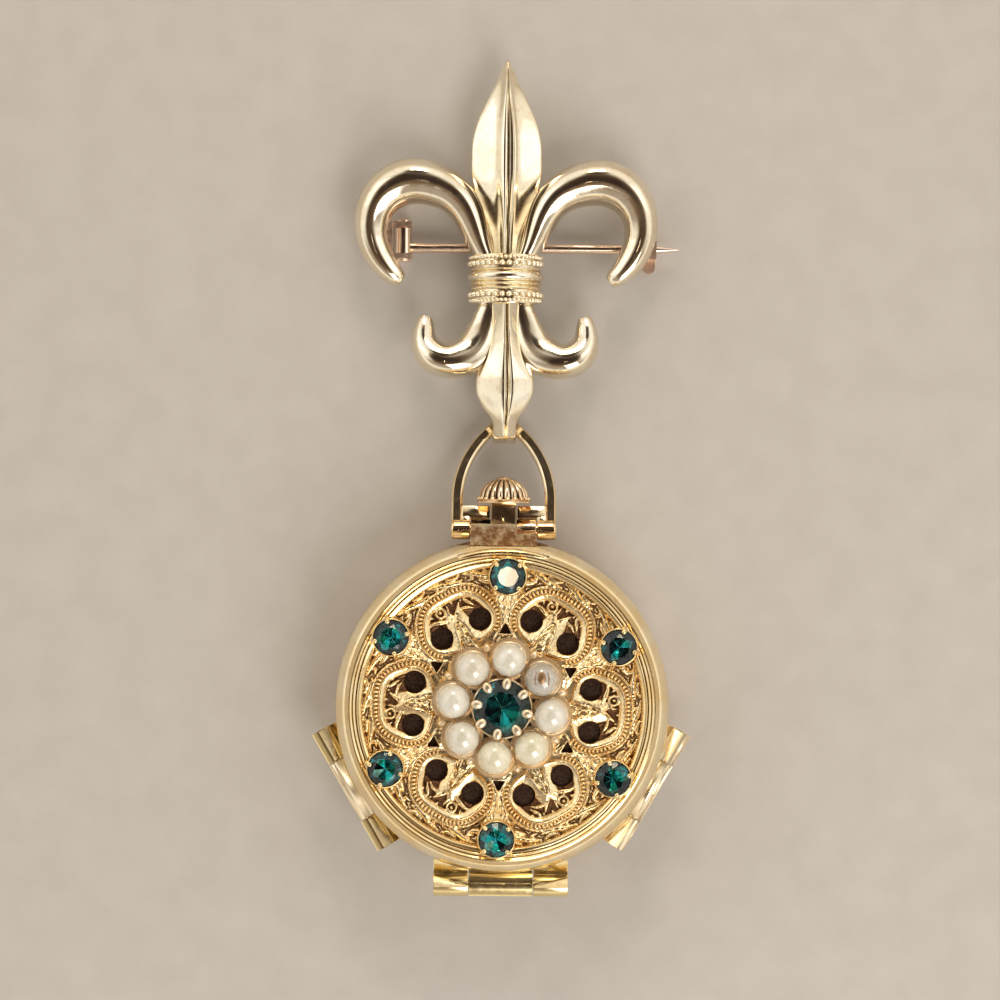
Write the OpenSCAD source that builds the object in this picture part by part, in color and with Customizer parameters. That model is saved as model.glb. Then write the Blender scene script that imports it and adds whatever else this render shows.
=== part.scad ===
// Locket brooch: a cast fleur-de-lis brooch with a pin back, from which a round folding
// photo locket hangs on a stirrup bow. It lies on its back: Z up, +Y toward the fleur's tip.

/* [Fleur] */
// Height of the fleur's flat back above the surface that the brooch lies on
fleur_back = 3.4; // [3.3:0.05:3.6]
// Middle of the collar, along the brooch
collar_y = 19.7; // [19.6:0.05:19.8]
// Half width of the collar
collar_half_w = 3.85; // [3.6:0.05:4.1]
// Thickness of the collar
collar_t = 3.7; // [3.4:0.1:4.0]
// Radius of the collar's beads
bead_r = 0.4; // [0.3:0.05:0.45]

/* [Pin] */
// Radius of the pin stem
stem_r = 0.5; // [0.4:0.05:0.55]
// Height of the pin stem's middle
stem_z = 1.7; // [1.6:0.05:1.8]
// Place of the pin stem, along the brooch
stem_y = 23.05; // [23:0.05:23.1]
// Place of the pin's rivet, across the brooch
rivet_x = -10.4; // [-10.6:0.1:-10.2]
// Reach of the pin's point
point_x = 17.5; // [17:0.1:18]

/* [Bow] */
// Half width of the stirrup bow
bow_half_w = 5.26; // [5.2:0.02:5.4]
// Width of the bow's strap
strap_w = 1.13; // [1:0.05:1.2]
// Thickness of the bow's strap
strap_t = 1.2; // [1:0.05:1.2]
// Place of the rod that joins bow and locket, along the brooch
bar_y = -5.45; // [-5.5:0.05:-5.4]
// Height of that rod
bar_z = 5.0; // [4.9:0.05:5.1]
// Place of the hanging eye's middle, along the brooch
eye_y = 4.8; // [4.7:0.05:4.9]
// Height of the hanging eye's middle
eye_z = 1.5; // [1.5:0.05:1.6]

/* [Locket] */
// Middle of the locket, along the brooch
case_y = -22.85; // [-22.9:0.01:-22.8]
// Radius of the case
case_r = 16.5; // [16.45:0.01:16.52]
// Height of the back case
back_h = 4.5; // [4.4:0.05:4.6]
// Thickness of each inner photo frame
frame_t = 1.8; // [1.7:0.05:1.9]
// Height of the cover at its bezel
cover_h = 3.7; // [3.6:0.05:3.8]
// Radius of the bezel
bezel_r = 14.6; // [14.5:0.05:14.7]
// Gap between two leaves of the closed locket
leaf_gap = 0.1; // [0.08:0.01:0.14]

/* [Hinges] */
// Distance of the cover's hinge from the locket's middle
cover_hinge_r = 17.8; // [17.75:0.01:17.85]
// Distance of the two inner hinges from the locket's middle
inner_hinge_r = 17.05; // [17.05:0.01:17.1]
// Length of a hinge
hinge_len = 13.3; // [13:0.1:13.4]
// Length of a hinge's middle knuckle
middle_len = 6.4; // [6.2:0.1:6.6]
// Radius of a hinge's rod
rod_r = 0.45; // [0.4:0.01:0.48]

/* [Stones] */
// Radius of each of the six rim stones
rim_stone_r = 1.66; // [1.6:0.02:1.7]
// Distance of the rim stones from the locket's middle
rim_stone_ring = 12.9; // [12.8:0.05:12.95]
// Radius of the middle stone
centre_stone_r = 2.8; // [2.7:0.05:2.85]
// Radius of a pearl
pearl_r = 1.68; // [1.6:0.02:1.7]
// Distance of the pearls from the locket's middle
pearl_ring = 4.84; // [4.8:0.02:4.9]

/* [Hidden] */
$fn = 48;
gold = "#e3c47e";
rose_gold = "#d9ac7c";
hinge_gold = "#e6c766";
stone_green = "#0f5f5c";
pearl_white = "#f2ecdd";

seat_gap = 0.03;
running_gap = 0.05;

// The fleur's upper petal: distance from the collar's middle, half width, thickness
upper_petal = [
    [2.0, 1.65, 2.9], [4.45, 1.95, 2.7], [5.95, 2.35, 2.6], [7.45, 2.8, 2.6], [8.95, 3.2, 2.6],
    [10.45, 3.55, 2.5], [12.0, 3.6, 2.4], [13.95, 3.5, 2.3], [15.95, 3.0, 2.1],
    [17.95, 2.1, 1.8], [19.95, 1.1, 1.4], [21.1, 0.65, 1.1], [22.1, 0.15, 0.7]
];
// The fleur's lower petal: distance from the collar's middle, half width, thickness
lower_petal = [
    [-2.0, 1.4, 2.9], [-4.05, 1.45, 2.6], [-5.55, 1.65, 2.4], [-7.05, 2.05, 2.4],
    [-8.55, 2.55, 2.4], [-10.05, 2.9, 2.4], [-11.25, 2.9, 2.3], [-12.05, 2.65, 2.3],
    [-13.05, 2.1, 2.3], [-13.85, 1.5, 2.4], [-14.55, 1.2, 2.4], [-15.55, 1.15, 2.1],
    [-16.15, 0.9, 1.6], [-16.35, 0.5, 1.0]
];
// The right upper arm's middle line: across, distance from the collar's middle, half width, thickness
upper_arm = [
    [1.2, 1.2, 0.8, 2.0], [2.5, 2.95, 1.1, 2.4], [3.5, 6.15, 1.6, 2.7], [5.1, 8.55, 1.95, 2.9],
    [7.2, 9.55, 2.2, 3.1], [9.2, 10.0, 2.35, 3.2], [11.2, 9.5, 2.3, 3.2], [12.9, 8.05, 2.05, 3.1],
    [13.7, 5.6, 1.7, 2.8], [13.35, 3.4, 1.55, 2.5], [12.45, 1.75, 1.4, 2.3], [11.5, 0.65, 1.15, 2.0],
    [10.8, 0.1, 0.95, 1.6], [10.45, -0.15, 0.65, 1.1]
];
// The right lower arm's middle line, in the same columns
lower_arm = [
    [1.3, -1.6, 1.0, 2.0], [1.75, -3.4, 1.35, 2.2], [2.2, -5.2, 1.75, 2.3], [2.95, -7.0, 2.05, 2.35],
    [4.4, -7.95, 2.0, 2.45], [5.7, -8.2, 1.8, 2.5], [6.7, -8.0, 1.75, 2.5], [7.5, -7.45, 1.7, 2.4],
    [8.15, -6.4, 1.4, 2.1], [8.2, -5.3, 1.15, 1.8], [8.1, -4.35, 0.95, 1.5], [7.95, -3.75, 0.65, 1.1]
];
// Half of a petal's section, from its edge to its middle line: share of half width, share of thickness
petal_section = [
    [1, 0], [1, 0.22], [0.93, 0.5], [0.72, 0.6], [0.5, 0.72], [0.3, 0.97], [0.18, 0.98], [0, 0.74]
];
petal_steps = 3;
arm_steps = 3;
arm_facets = 10;
arm_wall = 0.22;
collar_half_len = 2.5;
collar_ridges = 4;
collar_row_beads = 10;

finding_top = fleur_back - seat_gap;
finding_plate_z = 2.9;
joint_plate_x = [-13.8, -11.45];
joint_y = [21.85, 25.6];
joint_ear_t = 0.5;
ear_r = 0.9;
ear_foot = 0.7;
ear_top = 3.0;
barrel_r = 0.85;
rivet_r = 0.35;
rivet_head = 0.2;
catch_plate_x = 13.0;
catch_x = [14.0, 15.2];
catch_slot = 0.62;
catch_wall = 0.45;
catch_foot_y = 21.3;
catch_foot_t = 0.45;

bow_rise = eye_y - bar_y;
bow_drop = bar_z - eye_z;
bow_slope = atan(bow_drop / bow_rise);
bow_len = sqrt(pow(bow_rise, 2) + pow(bow_drop, 2));
journal_r = 0.6;
eye_half_w = 1.15;
bow_gap_half_w = 1.35;
side_h = 3.0;
lug_r = 1.0;
plate_y = [1.15, 2.35];
bow_gap = 0.1;
neck_half_w = 3.25;
stem_half_w = 1.3;
neck_z = [1.6, 8.6];
neck_back_y = -7.0;
crown_r = 2.75;
crown_len = 2.5;
crown_base_y = -2.75;
crown_ribs = 16;

leaf_z = [0, back_h, back_h + frame_t, back_h + 2 * frame_t];
cover_top = leaf_z[3] + cover_h;
edge_in = 0.15;
frame_r = case_r - edge_in;
chord = 15.8;
recess_r = bezel_r - 0.75;
rim_in = 15.0;
hinge_angles = [330, 210, 270];
hinge_radii = [inner_hinge_r, inner_hinge_r, cover_hinge_r];
knuckle_radii = [1.0, 1.0, 1.15];
knuckle_gap = 0.12;
rod_gap = 0.05;
gusset_low = 0.35;
gusset_high = 1.2;

plate_z = leaf_z[3] + 2.25;
plate_t = 0.65;
lobe_first = 58;
stone_first = 88;
pearl_first = 82;
rim_girdle_z = plate_z + 2.15;
centre_girdle_z = plate_z + 2.85;
pearl_z = plate_z + 2.78;

// A value between two table rows, on a smooth curve through the rows around them
function smooth_row(before, start, end, after, t) =
    0.5 * (2 * start + (end - before) * t + (2 * before - 5 * start + 4 * end - after) * t * t
        + (3 * start - before - 3 * end + after) * t * t * t);
function row(table, i) = table[max(0, min(len(table) - 1, i))];
function smooth_table(table, steps) = [
    for (i = [0:len(table) - 2], k = [0:steps - 1])
        smooth_row(row(table, i - 1), row(table, i), row(table, i + 1), row(table, i + 2), k / steps),
    table[len(table) - 1]
];
function reversed(list) = [for (i = [len(list) - 1:-1:0]) list[i]];
function mirror_half(list) = concat(
    list, [for (i = [len(list) - 2:-1:0]) [-list[i][0], list[i][1]]]
);

// A closed skin over rings of points, each ring with the same number of points
module loft(rings) {
    n = len(rings[0]);
    last = len(rings) - 1;
    polyhedron(
        points = [for (ring = rings, p = ring) p],
        faces = concat(
            [[for (j = [n - 1:-1:0]) j]],
            [for (i = [0:last - 1], j = [0:n - 1]) [i * n + j, i * n + (j + 1) % n, (i + 1) * n + j]],
            [for (i = [0:last - 1], j = [0:n - 1])
                [(i + 1) * n + j, i * n + (j + 1) % n, (i + 1) * n + (j + 1) % n]],
            [[for (j = [0:n - 1]) last * n + j]]
        ),
        convexity = 6
    );
}

module petal(table) {
    section = mirror_half(petal_section);
    rows = smooth_table(table, petal_steps);
    loft([for (r = rows) [for (p = section)
        [p[0] * r[1], collar_y + r[0], fleur_back + p[1] * r[2]]]]);
}

module arm(table) {
    rows = smooth_table(table, arm_steps);
    last = len(rows) - 1;
    loft([for (i = [0:last])
        let (
            r = rows[i],
            ahead = rows[min(last, i + 1)],
            behind = rows[max(0, i - 1)],
            dir = [ahead[0] - behind[0], ahead[1] - behind[1]],
            side = [dir[1], -dir[0]] / norm(dir)
        )
        concat(
            [[r[0] + side[0] * r[2], collar_y + r[1] + side[1] * r[2], fleur_back]],
            [for (k = [0:arm_facets])
                let (a = 180 * k / arm_facets, u = r[2] * cos(a))
                [r[0] + side[0] * u, collar_y + r[1] + side[1] * u,
                    fleur_back + r[3] * (arm_wall + (1 - arm_wall) * sin(a))]],
            [[r[0] - side[0] * r[2], collar_y + r[1] - side[1] * r[2], fleur_back]]
        )]);
}

// A ring of the collar's outline, at a distance along it, with its share of the full size
function collar_ring(along, share) = [for (k = [0:14])
    let (a = 180 * k / 14)
    [collar_half_w * share * cos(a), collar_y + along, fleur_back + collar_t * share * sin(a)]];

module collar() {
    ridged = 1.2;
    ridge = 2 * ridged / collar_ridges;
    loft(concat(
        [collar_ring(-collar_half_len, 0.84), collar_ring(-collar_half_len + 0.2, 0.92)],
        [collar_ring(-ridged - 0.1, 0.92)],
        [for (k = [0:2 * collar_ridges]) collar_ring(-ridged + k * ridge / 2, k % 2 == 0 ? 0.93 : 1)],
        [collar_ring(ridged + 0.1, 0.92)],
        [collar_ring(collar_half_len - 0.2, 0.92), collar_ring(collar_half_len, 0.84)]
    ));
}

// A row of small oval beads across the collar
module bead_row(along) {
    for (k = [0:collar_row_beads - 1]) {
        a = 12 + 156 * k / (collar_row_beads - 1);
        translate([
            0.93 * collar_half_w * cos(a), collar_y + along, fleur_back + 0.93 * collar_t * sin(a)
        ])
            hull() {
                translate([0, 0.1, 0]) sphere(bead_r, $fn = 8);
                translate([0, -0.1, 0]) sphere(bead_r, $fn = 8);
            }
    }
}

module fleur() {
    color(gold) union() {
        petal(upper_petal);
        petal(reversed(lower_petal));
        for (s = [0, 1]) {
            mirror([s, 0, 0]) arm(upper_arm);
            mirror([s, 0, 0]) arm(lower_arm);
        }
        collar();
        bead_row(-collar_half_len + 0.65);
        bead_row(collar_half_len - 0.65);
    }
}

// A cylinder along Y
module y_rod(x, y0, y1, z, r) {
    translate([x, y0, z]) rotate([-90, 0, 0]) cylinder(h = y1 - y0, r = r);
}

// A cylinder along X, about the middle
module x_rod(y, z, r, half_len) {
    translate([-half_len, y, z]) rotate([0, 90, 0]) cylinder(h = 2 * half_len, r = r);
}

// A box between two corners
module block(low, high) {
    translate(low) cube(high - low);
}

// One ear of the joint: an upright plate with a rounded foot, between two places along Y
module joint_ear(y0, y1) {
    for (x = [rivet_x - ear_foot, rivet_x]) y_rod(x, y0, y1, ear_r, ear_r);
    block([rivet_x - ear_foot, y0, 0], [rivet_x, y1, ear_r]);
    block([rivet_x - ear_foot - ear_r, y0, ear_r], [rivet_x + ear_r, y1, ear_top]);
}

module pin_joint() {
    color(gold) union() {
        block([joint_plate_x[0], joint_y[0], finding_plate_z],
            [joint_plate_x[1], joint_y[1], finding_top]);
        joint_ear(joint_y[0], joint_y[0] + joint_ear_t);
        joint_ear(joint_y[1] - joint_ear_t, joint_y[1]);
        y_rod(rivet_x, joint_y[0] - rivet_head, joint_y[1] + rivet_head, stem_z, rivet_r);
        y_rod(rivet_x, joint_y[0] - rivet_head, joint_y[0] + 0.01, stem_z, 2 * rivet_r);
        y_rod(rivet_x, joint_y[1] - 0.01, joint_y[1] + rivet_head, stem_z, 2 * rivet_r);
    }
}

// The catch: a channel open downward, with a small foot that guides the stem in
module pin_catch() {
    color(rose_gold) union() {
        block([catch_plate_x, stem_y - catch_slot - catch_wall, finding_plate_z],
            [catch_x[1], stem_y + catch_slot + catch_wall, finding_top]);
        for (s = [-1, 1]) {
            inner = stem_y + s * catch_slot;
            outer = inner + s * catch_wall;
            block([catch_x[0], min(inner, outer), 0], [catch_x[1], max(inner, outer), ear_top]);
        }
        block([catch_x[0], catch_foot_y, 0],
            [catch_x[1], stem_y - catch_slot - 0.1, catch_foot_t]);
        translate([(catch_x[0] + catch_x[1]) / 2, catch_foot_y, 0])
            cylinder(h = catch_foot_t, r = (catch_x[1] - catch_x[0]) / 2);
    }
}

module pin_stem() {
    taper = 2.6;
    ear_gap = 0.1;
    root_len = 2.0;
    color(rose_gold) difference() {
        union() {
            y_rod(rivet_x, joint_y[0] + joint_ear_t + ear_gap, joint_y[1] - joint_ear_t - ear_gap,
                stem_z, barrel_r);
            translate([rivet_x, stem_y, stem_z])
                rotate([0, 90, 0]) cylinder(h = root_len, r = stem_r + 0.06);
            translate([rivet_x, stem_y, stem_z])
                rotate([0, 90, 0]) cylinder(h = point_x - taper - rivet_x, r = stem_r);
            translate([point_x - taper, stem_y, stem_z])
                rotate([0, 90, 0]) cylinder(h = taper, r1 = stem_r, r2 = 0.06);
        }
        y_rod(rivet_x, joint_y[0], joint_y[1], stem_z, rivet_r + running_gap);
    }
}

module hanging_eye() {
    post_half_w = 1;
    post_y = [eye_y - 0.9, eye_y + 2.2];
    play = 0.08;
    color(gold) difference() {
        union() {
            x_rod(eye_y, eye_z, eye_z, eye_half_w);
            block([-post_half_w, post_y[0], eye_z], [post_half_w, post_y[1], finding_top]);
        }
        x_rod(eye_y, eye_z, journal_r + play, 2 * eye_half_w);
    }
}

// Distance past the middle line at which a pointed arch's side arc has its centre
function arch_offset(half_w, tip_half_w, rise) =
    (rise * rise + tip_half_w * tip_half_w - half_w * half_w) / (2 * (half_w - tip_half_w));

// A pointed arch: upright sides up to a height, then two arcs that meet the tip
module arch(half_w, low, straight, tip_half_w, top) {
    offset_x = arch_offset(half_w, tip_half_w, top - straight);
    translate([-half_w, low]) square([2 * half_w, straight - low]);
    intersection() {
        translate([offset_x, straight]) circle(half_w + offset_x, $fn = 96);
        translate([-offset_x, straight]) circle(half_w + offset_x, $fn = 96);
        translate([-half_w, straight]) square([2 * half_w, top - straight]);
    }
}

module bow() {
    inner_top = bow_len - 1.05;
    mouth_y = bow_len - 1.6;
    mouth_len = 4;
    slot_len = 3;
    translate([0, bar_y, bar_z]) rotate([-bow_slope, 0, 0]) color(rose_gold) union() {
        translate([0, 0, -strap_t / 2]) linear_extrude(strap_t) difference() {
            arch(bow_half_w, 0, side_h, bow_gap_half_w, bow_len + journal_r);
            arch(bow_half_w - strap_w, plate_y[1], side_h, bow_gap_half_w - 0.15, inner_top);
            translate([-neck_half_w - bow_gap, -lug_r])
                square([2 * neck_half_w + 2 * bow_gap, lug_r + plate_y[0]]);
            translate([-stem_half_w - bow_gap, 0])
                square([2 * stem_half_w + 2 * bow_gap, slot_len]);
            translate([-bow_gap_half_w, mouth_y]) square([2 * bow_gap_half_w, mouth_len]);
        }
        x_rod(bow_len, 0, journal_r, bow_gap_half_w + 0.1);
        x_rod(0, 0, journal_r, neck_half_w + 2 * bow_gap);
        for (s = [0, 1]) mirror([s, 0, 0])
            translate([neck_half_w + bow_gap, 0, 0]) rotate([0, 90, 0])
                cylinder(h = bow_half_w - neck_half_w - bow_gap, r = lug_r);
    }
}

// The pieces that follow are placed about the locket's middle
module at_case() {
    translate([0, case_y, 0]) children();
}

// Children at a distance and an angle from the locket's middle
module on_ring(r, a) {
    rotate(a) translate([r, 0, 0]) children();
}

// A cylinder on a hinge's axis, between two distances along it
module on_axis(h, y0, y1, r) {
    on_ring(hinge_radii[h], hinge_angles[h]) y_rod(0, y0, y1, leaf_z[h + 1], r);
}

// The wedge that joins a knuckle to its leaf: it falls from the rim to a groove beside the barrel
module gusset(hinge_r, r, len) {
    low = leaf_gap / 2;
    translate([0, len, 0]) rotate([90, 0, 0]) linear_extrude(len) polygon([
        [rim_in + 0.2, low], [hinge_r, low], [hinge_r, gusset_low * r],
        [hinge_r - r - 0.02, gusset_low * r], [rim_in + 0.2, gusset_high * r]
    ]);
}

// Knuckles of one leaf: the upper leaf has the two outer ones, the lower leaf the middle one
module knuckles(h, upper) {
    z = leaf_z[h + 1];
    r = knuckle_radii[h];
    half = middle_len / 2;
    spans = upper
        ? [[-hinge_len / 2, -half - knuckle_gap / 2], [half + knuckle_gap / 2, hinge_len / 2]]
        : [[-half + knuckle_gap / 2, half - knuckle_gap / 2]];
    for (span = spans) {
        on_axis(h, span[0], span[1], r);
        rotate(hinge_angles[h]) translate([0, span[0], z]) mirror([0, 0, upper ? 0 : 1])
            gusset(hinge_radii[h], r, span[1] - span[0]);
    }
}

module hinge_space(h) {
    on_axis(h, -hinge_len / 2 - 0.15, hinge_len / 2 + 0.15, knuckle_radii[h] + 0.12);
}

module hinge_bore(h) {
    on_axis(h, -hinge_len, hinge_len, rod_r + rod_gap);
}

module hinge_pin(h) {
    color(hinge_gold) at_case() on_axis(h, -hinge_len / 2 + 0.1, hinge_len / 2 - 0.1, rod_r);
}

// Room in front of the neck: the leaves above the back case end in a short straight edge there
module neck_space() {
    half_w = 8;
    reach = 20;
    block([-half_w, chord, back_h - 0.5], [half_w, reach, reach]);
}

module case_back() {
    steps = 8;
    bottom_r = 12.6;
    curve_h = 2.8;
    floor_t = 0.9;
    rim_edge = 0.3;
    neck_wall = 0.45;
    bearing_half_h = 0.9;
    color(gold) difference() {
        union() {
            at_case() {
                difference() {
                    rotate_extrude($fn = 96) polygon(concat(
                        [[0, 0]],
                        [for (k = [0:steps]) let (a = 90 * k / steps)
                            [bottom_r + (case_r - bottom_r) * sin(a), curve_h * (1 - cos(a))]],
                        [[case_r, back_h - rim_edge], [case_r - edge_in, back_h - leaf_gap / 2],
                            [rim_in, back_h - leaf_gap / 2], [rim_in, floor_t], [0, floor_t]]
                    ));
                    hinge_space(0);
                }
                knuckles(0, false);
            }
            block([-neck_half_w, neck_back_y - 0.6, neck_z[0]],
                [neck_half_w, neck_back_y + neck_wall, back_h - leaf_gap / 2]);
            block([-neck_half_w, neck_back_y, neck_z[0]],
                [neck_half_w, neck_back_y + neck_wall, neck_z[1]]);
            x_rod(bar_y, bar_z, lug_r, neck_half_w);
            block([-neck_half_w, neck_back_y, bar_z - bearing_half_h],
                [neck_half_w, bar_y, bar_z + bearing_half_h]);
            block([-neck_half_w, neck_back_y, bar_z + 0.7],
                [stem_half_w, bar_y + 0.55, neck_z[1]]);
            block([stem_half_w - 0.1, neck_back_y, bar_z + 0.7],
                [neck_half_w, bar_y - 0.35, neck_z[1]]);
            block([-stem_half_w, bar_y, bar_z - bearing_half_h],
                [stem_half_w, crown_base_y - seat_gap, bar_z + lug_r]);
        }
        x_rod(bar_y, bar_z, journal_r + running_gap, neck_half_w + 1);
        at_case() hinge_bore(0);
    }
}

module crown() {
    steps = 5;
    disc_h = 0.3;
    dome_r = crown_r - 0.35;
    rib_r = crown_r - 0.3;
    rib_rise = crown_len - 0.45;
    rib_turn = 78;
    rib_w = [for (i = [0:steps - 1]) 0.36 - 0.05 * i];
    cap_r = 0.6;
    color(gold) translate([0, crown_base_y, bar_z]) rotate([-90, 0, 0]) union() {
        cylinder(h = disc_h, r = crown_r);
        translate([0, 0, disc_h - 0.1]) scale([1, 1, (crown_len - disc_h) / dome_r]) intersection() {
            sphere(dome_r, $fn = 32);
            cylinder(h = crown_r, r = crown_r, $fn = 32);
        }
        for (k = [0:crown_ribs - 1]) rotate(360 * k / crown_ribs)
            for (i = [0:steps - 2]) hull() {
                for (j = [i, i + 1]) {
                    a = rib_turn * j / (steps - 1);
                    translate([rib_r * cos(a), 0, disc_h + rib_rise * sin(a)])
                        cube(rib_w[j], center = true);
                }
            }
        translate([0, 0, crown_len - disc_h]) cylinder(h = disc_h, r = cap_r, $fn = 24);
    }
}

// An inner leaf of the locket: a rim with a shallow photo seat on each side of a thin web
module inner_frame(i) {
    z0 = leaf_z[i] + leaf_gap / 2;
    z1 = leaf_z[i + 1] - leaf_gap / 2;
    middle = (z0 + z1) / 2;
    color(gold) at_case() difference() {
        union() {
            difference() {
                rotate_extrude($fn = 96) polygon([
                    [0, middle - 0.25], [rim_in, middle - 0.25], [rim_in, z0], [frame_r - 0.2, z0],
                    [frame_r, z0 + 0.3], [frame_r, z1 - 0.3], [frame_r - 0.2, z1], [rim_in, z1],
                    [rim_in, middle + 0.25], [0, middle + 0.25]
                ]);
                hinge_space(i - 1);
                hinge_space(i);
                neck_space();
            }
            knuckles(i - 1, true);
            knuckles(i, false);
        }
        hinge_bore(i - 1);
        hinge_bore(i);
    }
}

module cover() {
    steps = 8;
    z0 = leaf_z[3] + leaf_gap / 2;
    wall_top = z0 + 1.05;
    seat_h = 1.5;
    shoulder_r = bezel_r + 0.15;
    shoulder_z = cover_top - 0.2;
    lip_r = [14.65, 15.6];
    lip_t = 0.9;
    lip_top = cover_top - 0.05;
    lip_angles = [73, 107];
    color(gold) at_case() difference() {
        union() {
            difference() {
                rotate_extrude($fn = 96) polygon(concat(
                    [[0, z0 + seat_h], [bezel_r, z0 + seat_h], [bezel_r, z0], [frame_r, z0],
                        [case_r, z0 + 0.25]],
                    [for (k = [0:steps]) let (a = 90 * k / steps)
                        [shoulder_r + (case_r - shoulder_r) * cos(a),
                            wall_top + (shoulder_z - wall_top) * sin(a)]],
                    [[bezel_r, shoulder_z], [bezel_r, cover_top], [recess_r, cover_top],
                        [recess_r, plate_z - 0.1], [0, plate_z - 0.1]]
                ));
                hinge_space(2);
                neck_space();
            }
            knuckles(2, true);
            rotate(lip_angles[0]) translate([0, 0, lip_top - lip_t])
                rotate_extrude(angle = lip_angles[1] - lip_angles[0], $fn = 96)
                    translate([lip_r[0], 0]) square([lip_r[1] - lip_r[0], lip_t]);
        }
        hinge_bore(2);
    }
}

// A kidney outline about the lobe's own line, X outward; grow widens it all round
module kidney(grow) {
    outer = 12.25;
    end_r = 2.0;
    end_a = 13.5;
    curl_r = 1.85;
    intersection() {
        difference() {
            circle(outer + grow, $fn = 96);
            circle(8.4 - grow, $fn = 72);
        }
        polygon([[0, 0], 20 * [cos(end_a), -sin(end_a)], 20 * [cos(end_a), sin(end_a)]]);
    }
    for (s = [-1, 1]) {
        rotate(s * end_a) translate([outer - end_r, 0]) circle(end_r + grow);
        translate([8.8, s * 2.15]) circle(curl_r + grow);
    }
}

module prong(r, a, z0, z1, thick) {
    on_ring(r, a) translate([0, 0, z0]) cylinder(h = z1 - z0, r = thick, $fn = 16);
}

// The pierced ornament: six kidney lobes sunk into a round plate, and six stone seats
module filigree() {
    rim = 0.55;
    top = plate_z + plate_t;
    seat_z = [cover_top + 0.1, rim_girdle_z - 0.3];
    color(gold) at_case() difference() {
        union() {
            translate([0, 0, plate_z]) cylinder(h = plate_t, r = recess_r - seat_gap, $fn = 96);
            for (k = [0:5]) rotate(lobe_first + 60 * k)
                translate([0, 0, plate_z]) linear_extrude(plate_t + 0.4) kidney(rim);
            for (k = [0:5]) on_ring(rim_stone_ring, stone_first + 60 * k) {
                translate([0, 0, seat_z[0]]) cylinder(h = seat_z[1] - seat_z[0], r = rim_stone_r + 0.2);
                translate([-0.5, 0, plate_z])
                    cylinder(h = seat_z[1] - plate_z, r = rim_stone_r - 0.25);
                for (j = [0:3])
                    prong(rim_stone_r + 0.3, 45 + 90 * j, seat_z[0], rim_girdle_z + 0.35, 0.27);
            }
        }
        for (k = [0:5]) rotate(lobe_first + 60 * k) {
            translate([0, 0, plate_z + 0.3]) linear_extrude(5) kidney(-0.1);
            for (s = [-1, 1]) on_ring(9.0, s * 14.3) translate([0, 0, -1]) cylinder(h = 20, r = 1.1);
        }
        for (k = [0:5]) on_ring(rim_stone_ring, stone_first + 60 * k)
            translate([0, 0, plate_z + 0.55]) cylinder(h = 5, r = rim_stone_r - 0.28);
        for (k = [0:5]) on_ring(7.6, stone_first + 60 * k)
            translate([0, 0, -1]) cylinder(h = 20, r = 0.75, $fn = 3);
    }
}

// Cups for the ring of pearls round a claw setting
module pearl_cluster() {
    z0 = plate_z + plate_t + 0.43;
    cup_z = pearl_z - pearl_r * 0.75;
    collet_z = centre_girdle_z - 0.55;
    color(gold) at_case() difference() {
        union() {
            translate([0, 0, z0]) cylinder(h = 0.3, r = pearl_ring + 0.4);
            translate([0, 0, plate_z + plate_t + seat_gap]) cylinder(h = 0.5, r = 4.4);
            for (k = [0:7]) on_ring(pearl_ring, pearl_first + 45 * k)
                translate([0, 0, z0]) cylinder(h = cup_z - z0, r = pearl_r - 0.25, $fn = 32);
            translate([0, 0, z0]) cylinder(h = collet_z - z0, r = centre_stone_r - 0.15);
            for (k = [0:7])
                prong(centre_stone_r + 0.3, pearl_first + 22.5 + 45 * k, z0, centre_girdle_z + 0.4, 0.27);
        }
        for (k = [0:7]) on_ring(pearl_ring, pearl_first + 45 * k)
            translate([0, 0, pearl_z]) sphere(pearl_r + seat_gap);
        translate([0, 0, centre_girdle_z - 1.65]) cylinder(h = 5, r = centre_stone_r - 0.55);
    }
}

// A round brilliant: table, kite and girdle facets above, eight pavilion facets below
module brilliant(r, crown_h, pavilion_h) {
    color(stone_green) hull() {
        cylinder(h = 0.12, r = r, $fn = 16);
        rotate(22.5) translate([0, 0, 0.12]) cylinder(h = crown_h * 0.6, r = r * 0.8, $fn = 8);
        translate([0, 0, 0.12]) cylinder(h = crown_h, r = r * 0.58, $fn = 8);
        translate([0, 0, -pavilion_h]) cylinder(h = 0.1, r = r * 0.08, $fn = 8);
        translate([0, 0, -pavilion_h * 0.45]) cylinder(h = 0.1, r = r * 0.62, $fn = 8);
    }
}

module centre_stone() {
    at_case() translate([0, 0, centre_girdle_z]) rotate(10) brilliant(centre_stone_r, 0.85, 1.5);
}

module rim_stone(k) {
    at_case() on_ring(rim_stone_ring, stone_first + 60 * (k - 1))
        translate([0, 0, rim_girdle_z]) brilliant(rim_stone_r, 0.5, 1.15);
}

module pearl(k) {
    color(pearl_white) at_case() on_ring(pearl_ring, pearl_first + 45 * (k - 1))
        translate([0, 0, pearl_z]) sphere(pearl_r);
}

fleur();
pin_joint();
pin_catch();
hanging_eye();
pin_stem();
bow();
case_back();
crown();
inner_frame(1);  // inner_frame_1
inner_frame(2);  // inner_frame_2
cover();
filigree();
pearl_cluster();
centre_stone();
hinge_pin(0);  // hinge_pin_back
hinge_pin(1);  // hinge_pin_middle
hinge_pin(2);  // hinge_pin_cover
rim_stone(1);  // rim_stone_1
rim_stone(2);  // rim_stone_2
rim_stone(3);  // rim_stone_3
rim_stone(4);  // rim_stone_4
rim_stone(5);  // rim_stone_5
rim_stone(6);  // rim_stone_6
pearl(1);  // pearl_1
pearl(2);  // pearl_2
pearl(3);  // pearl_3
pearl(4);  // pearl_4
pearl(5);  // pearl_5
pearl(6);  // pearl_6
pearl(7);  // pearl_7
pearl(8);  // pearl_8
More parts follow.
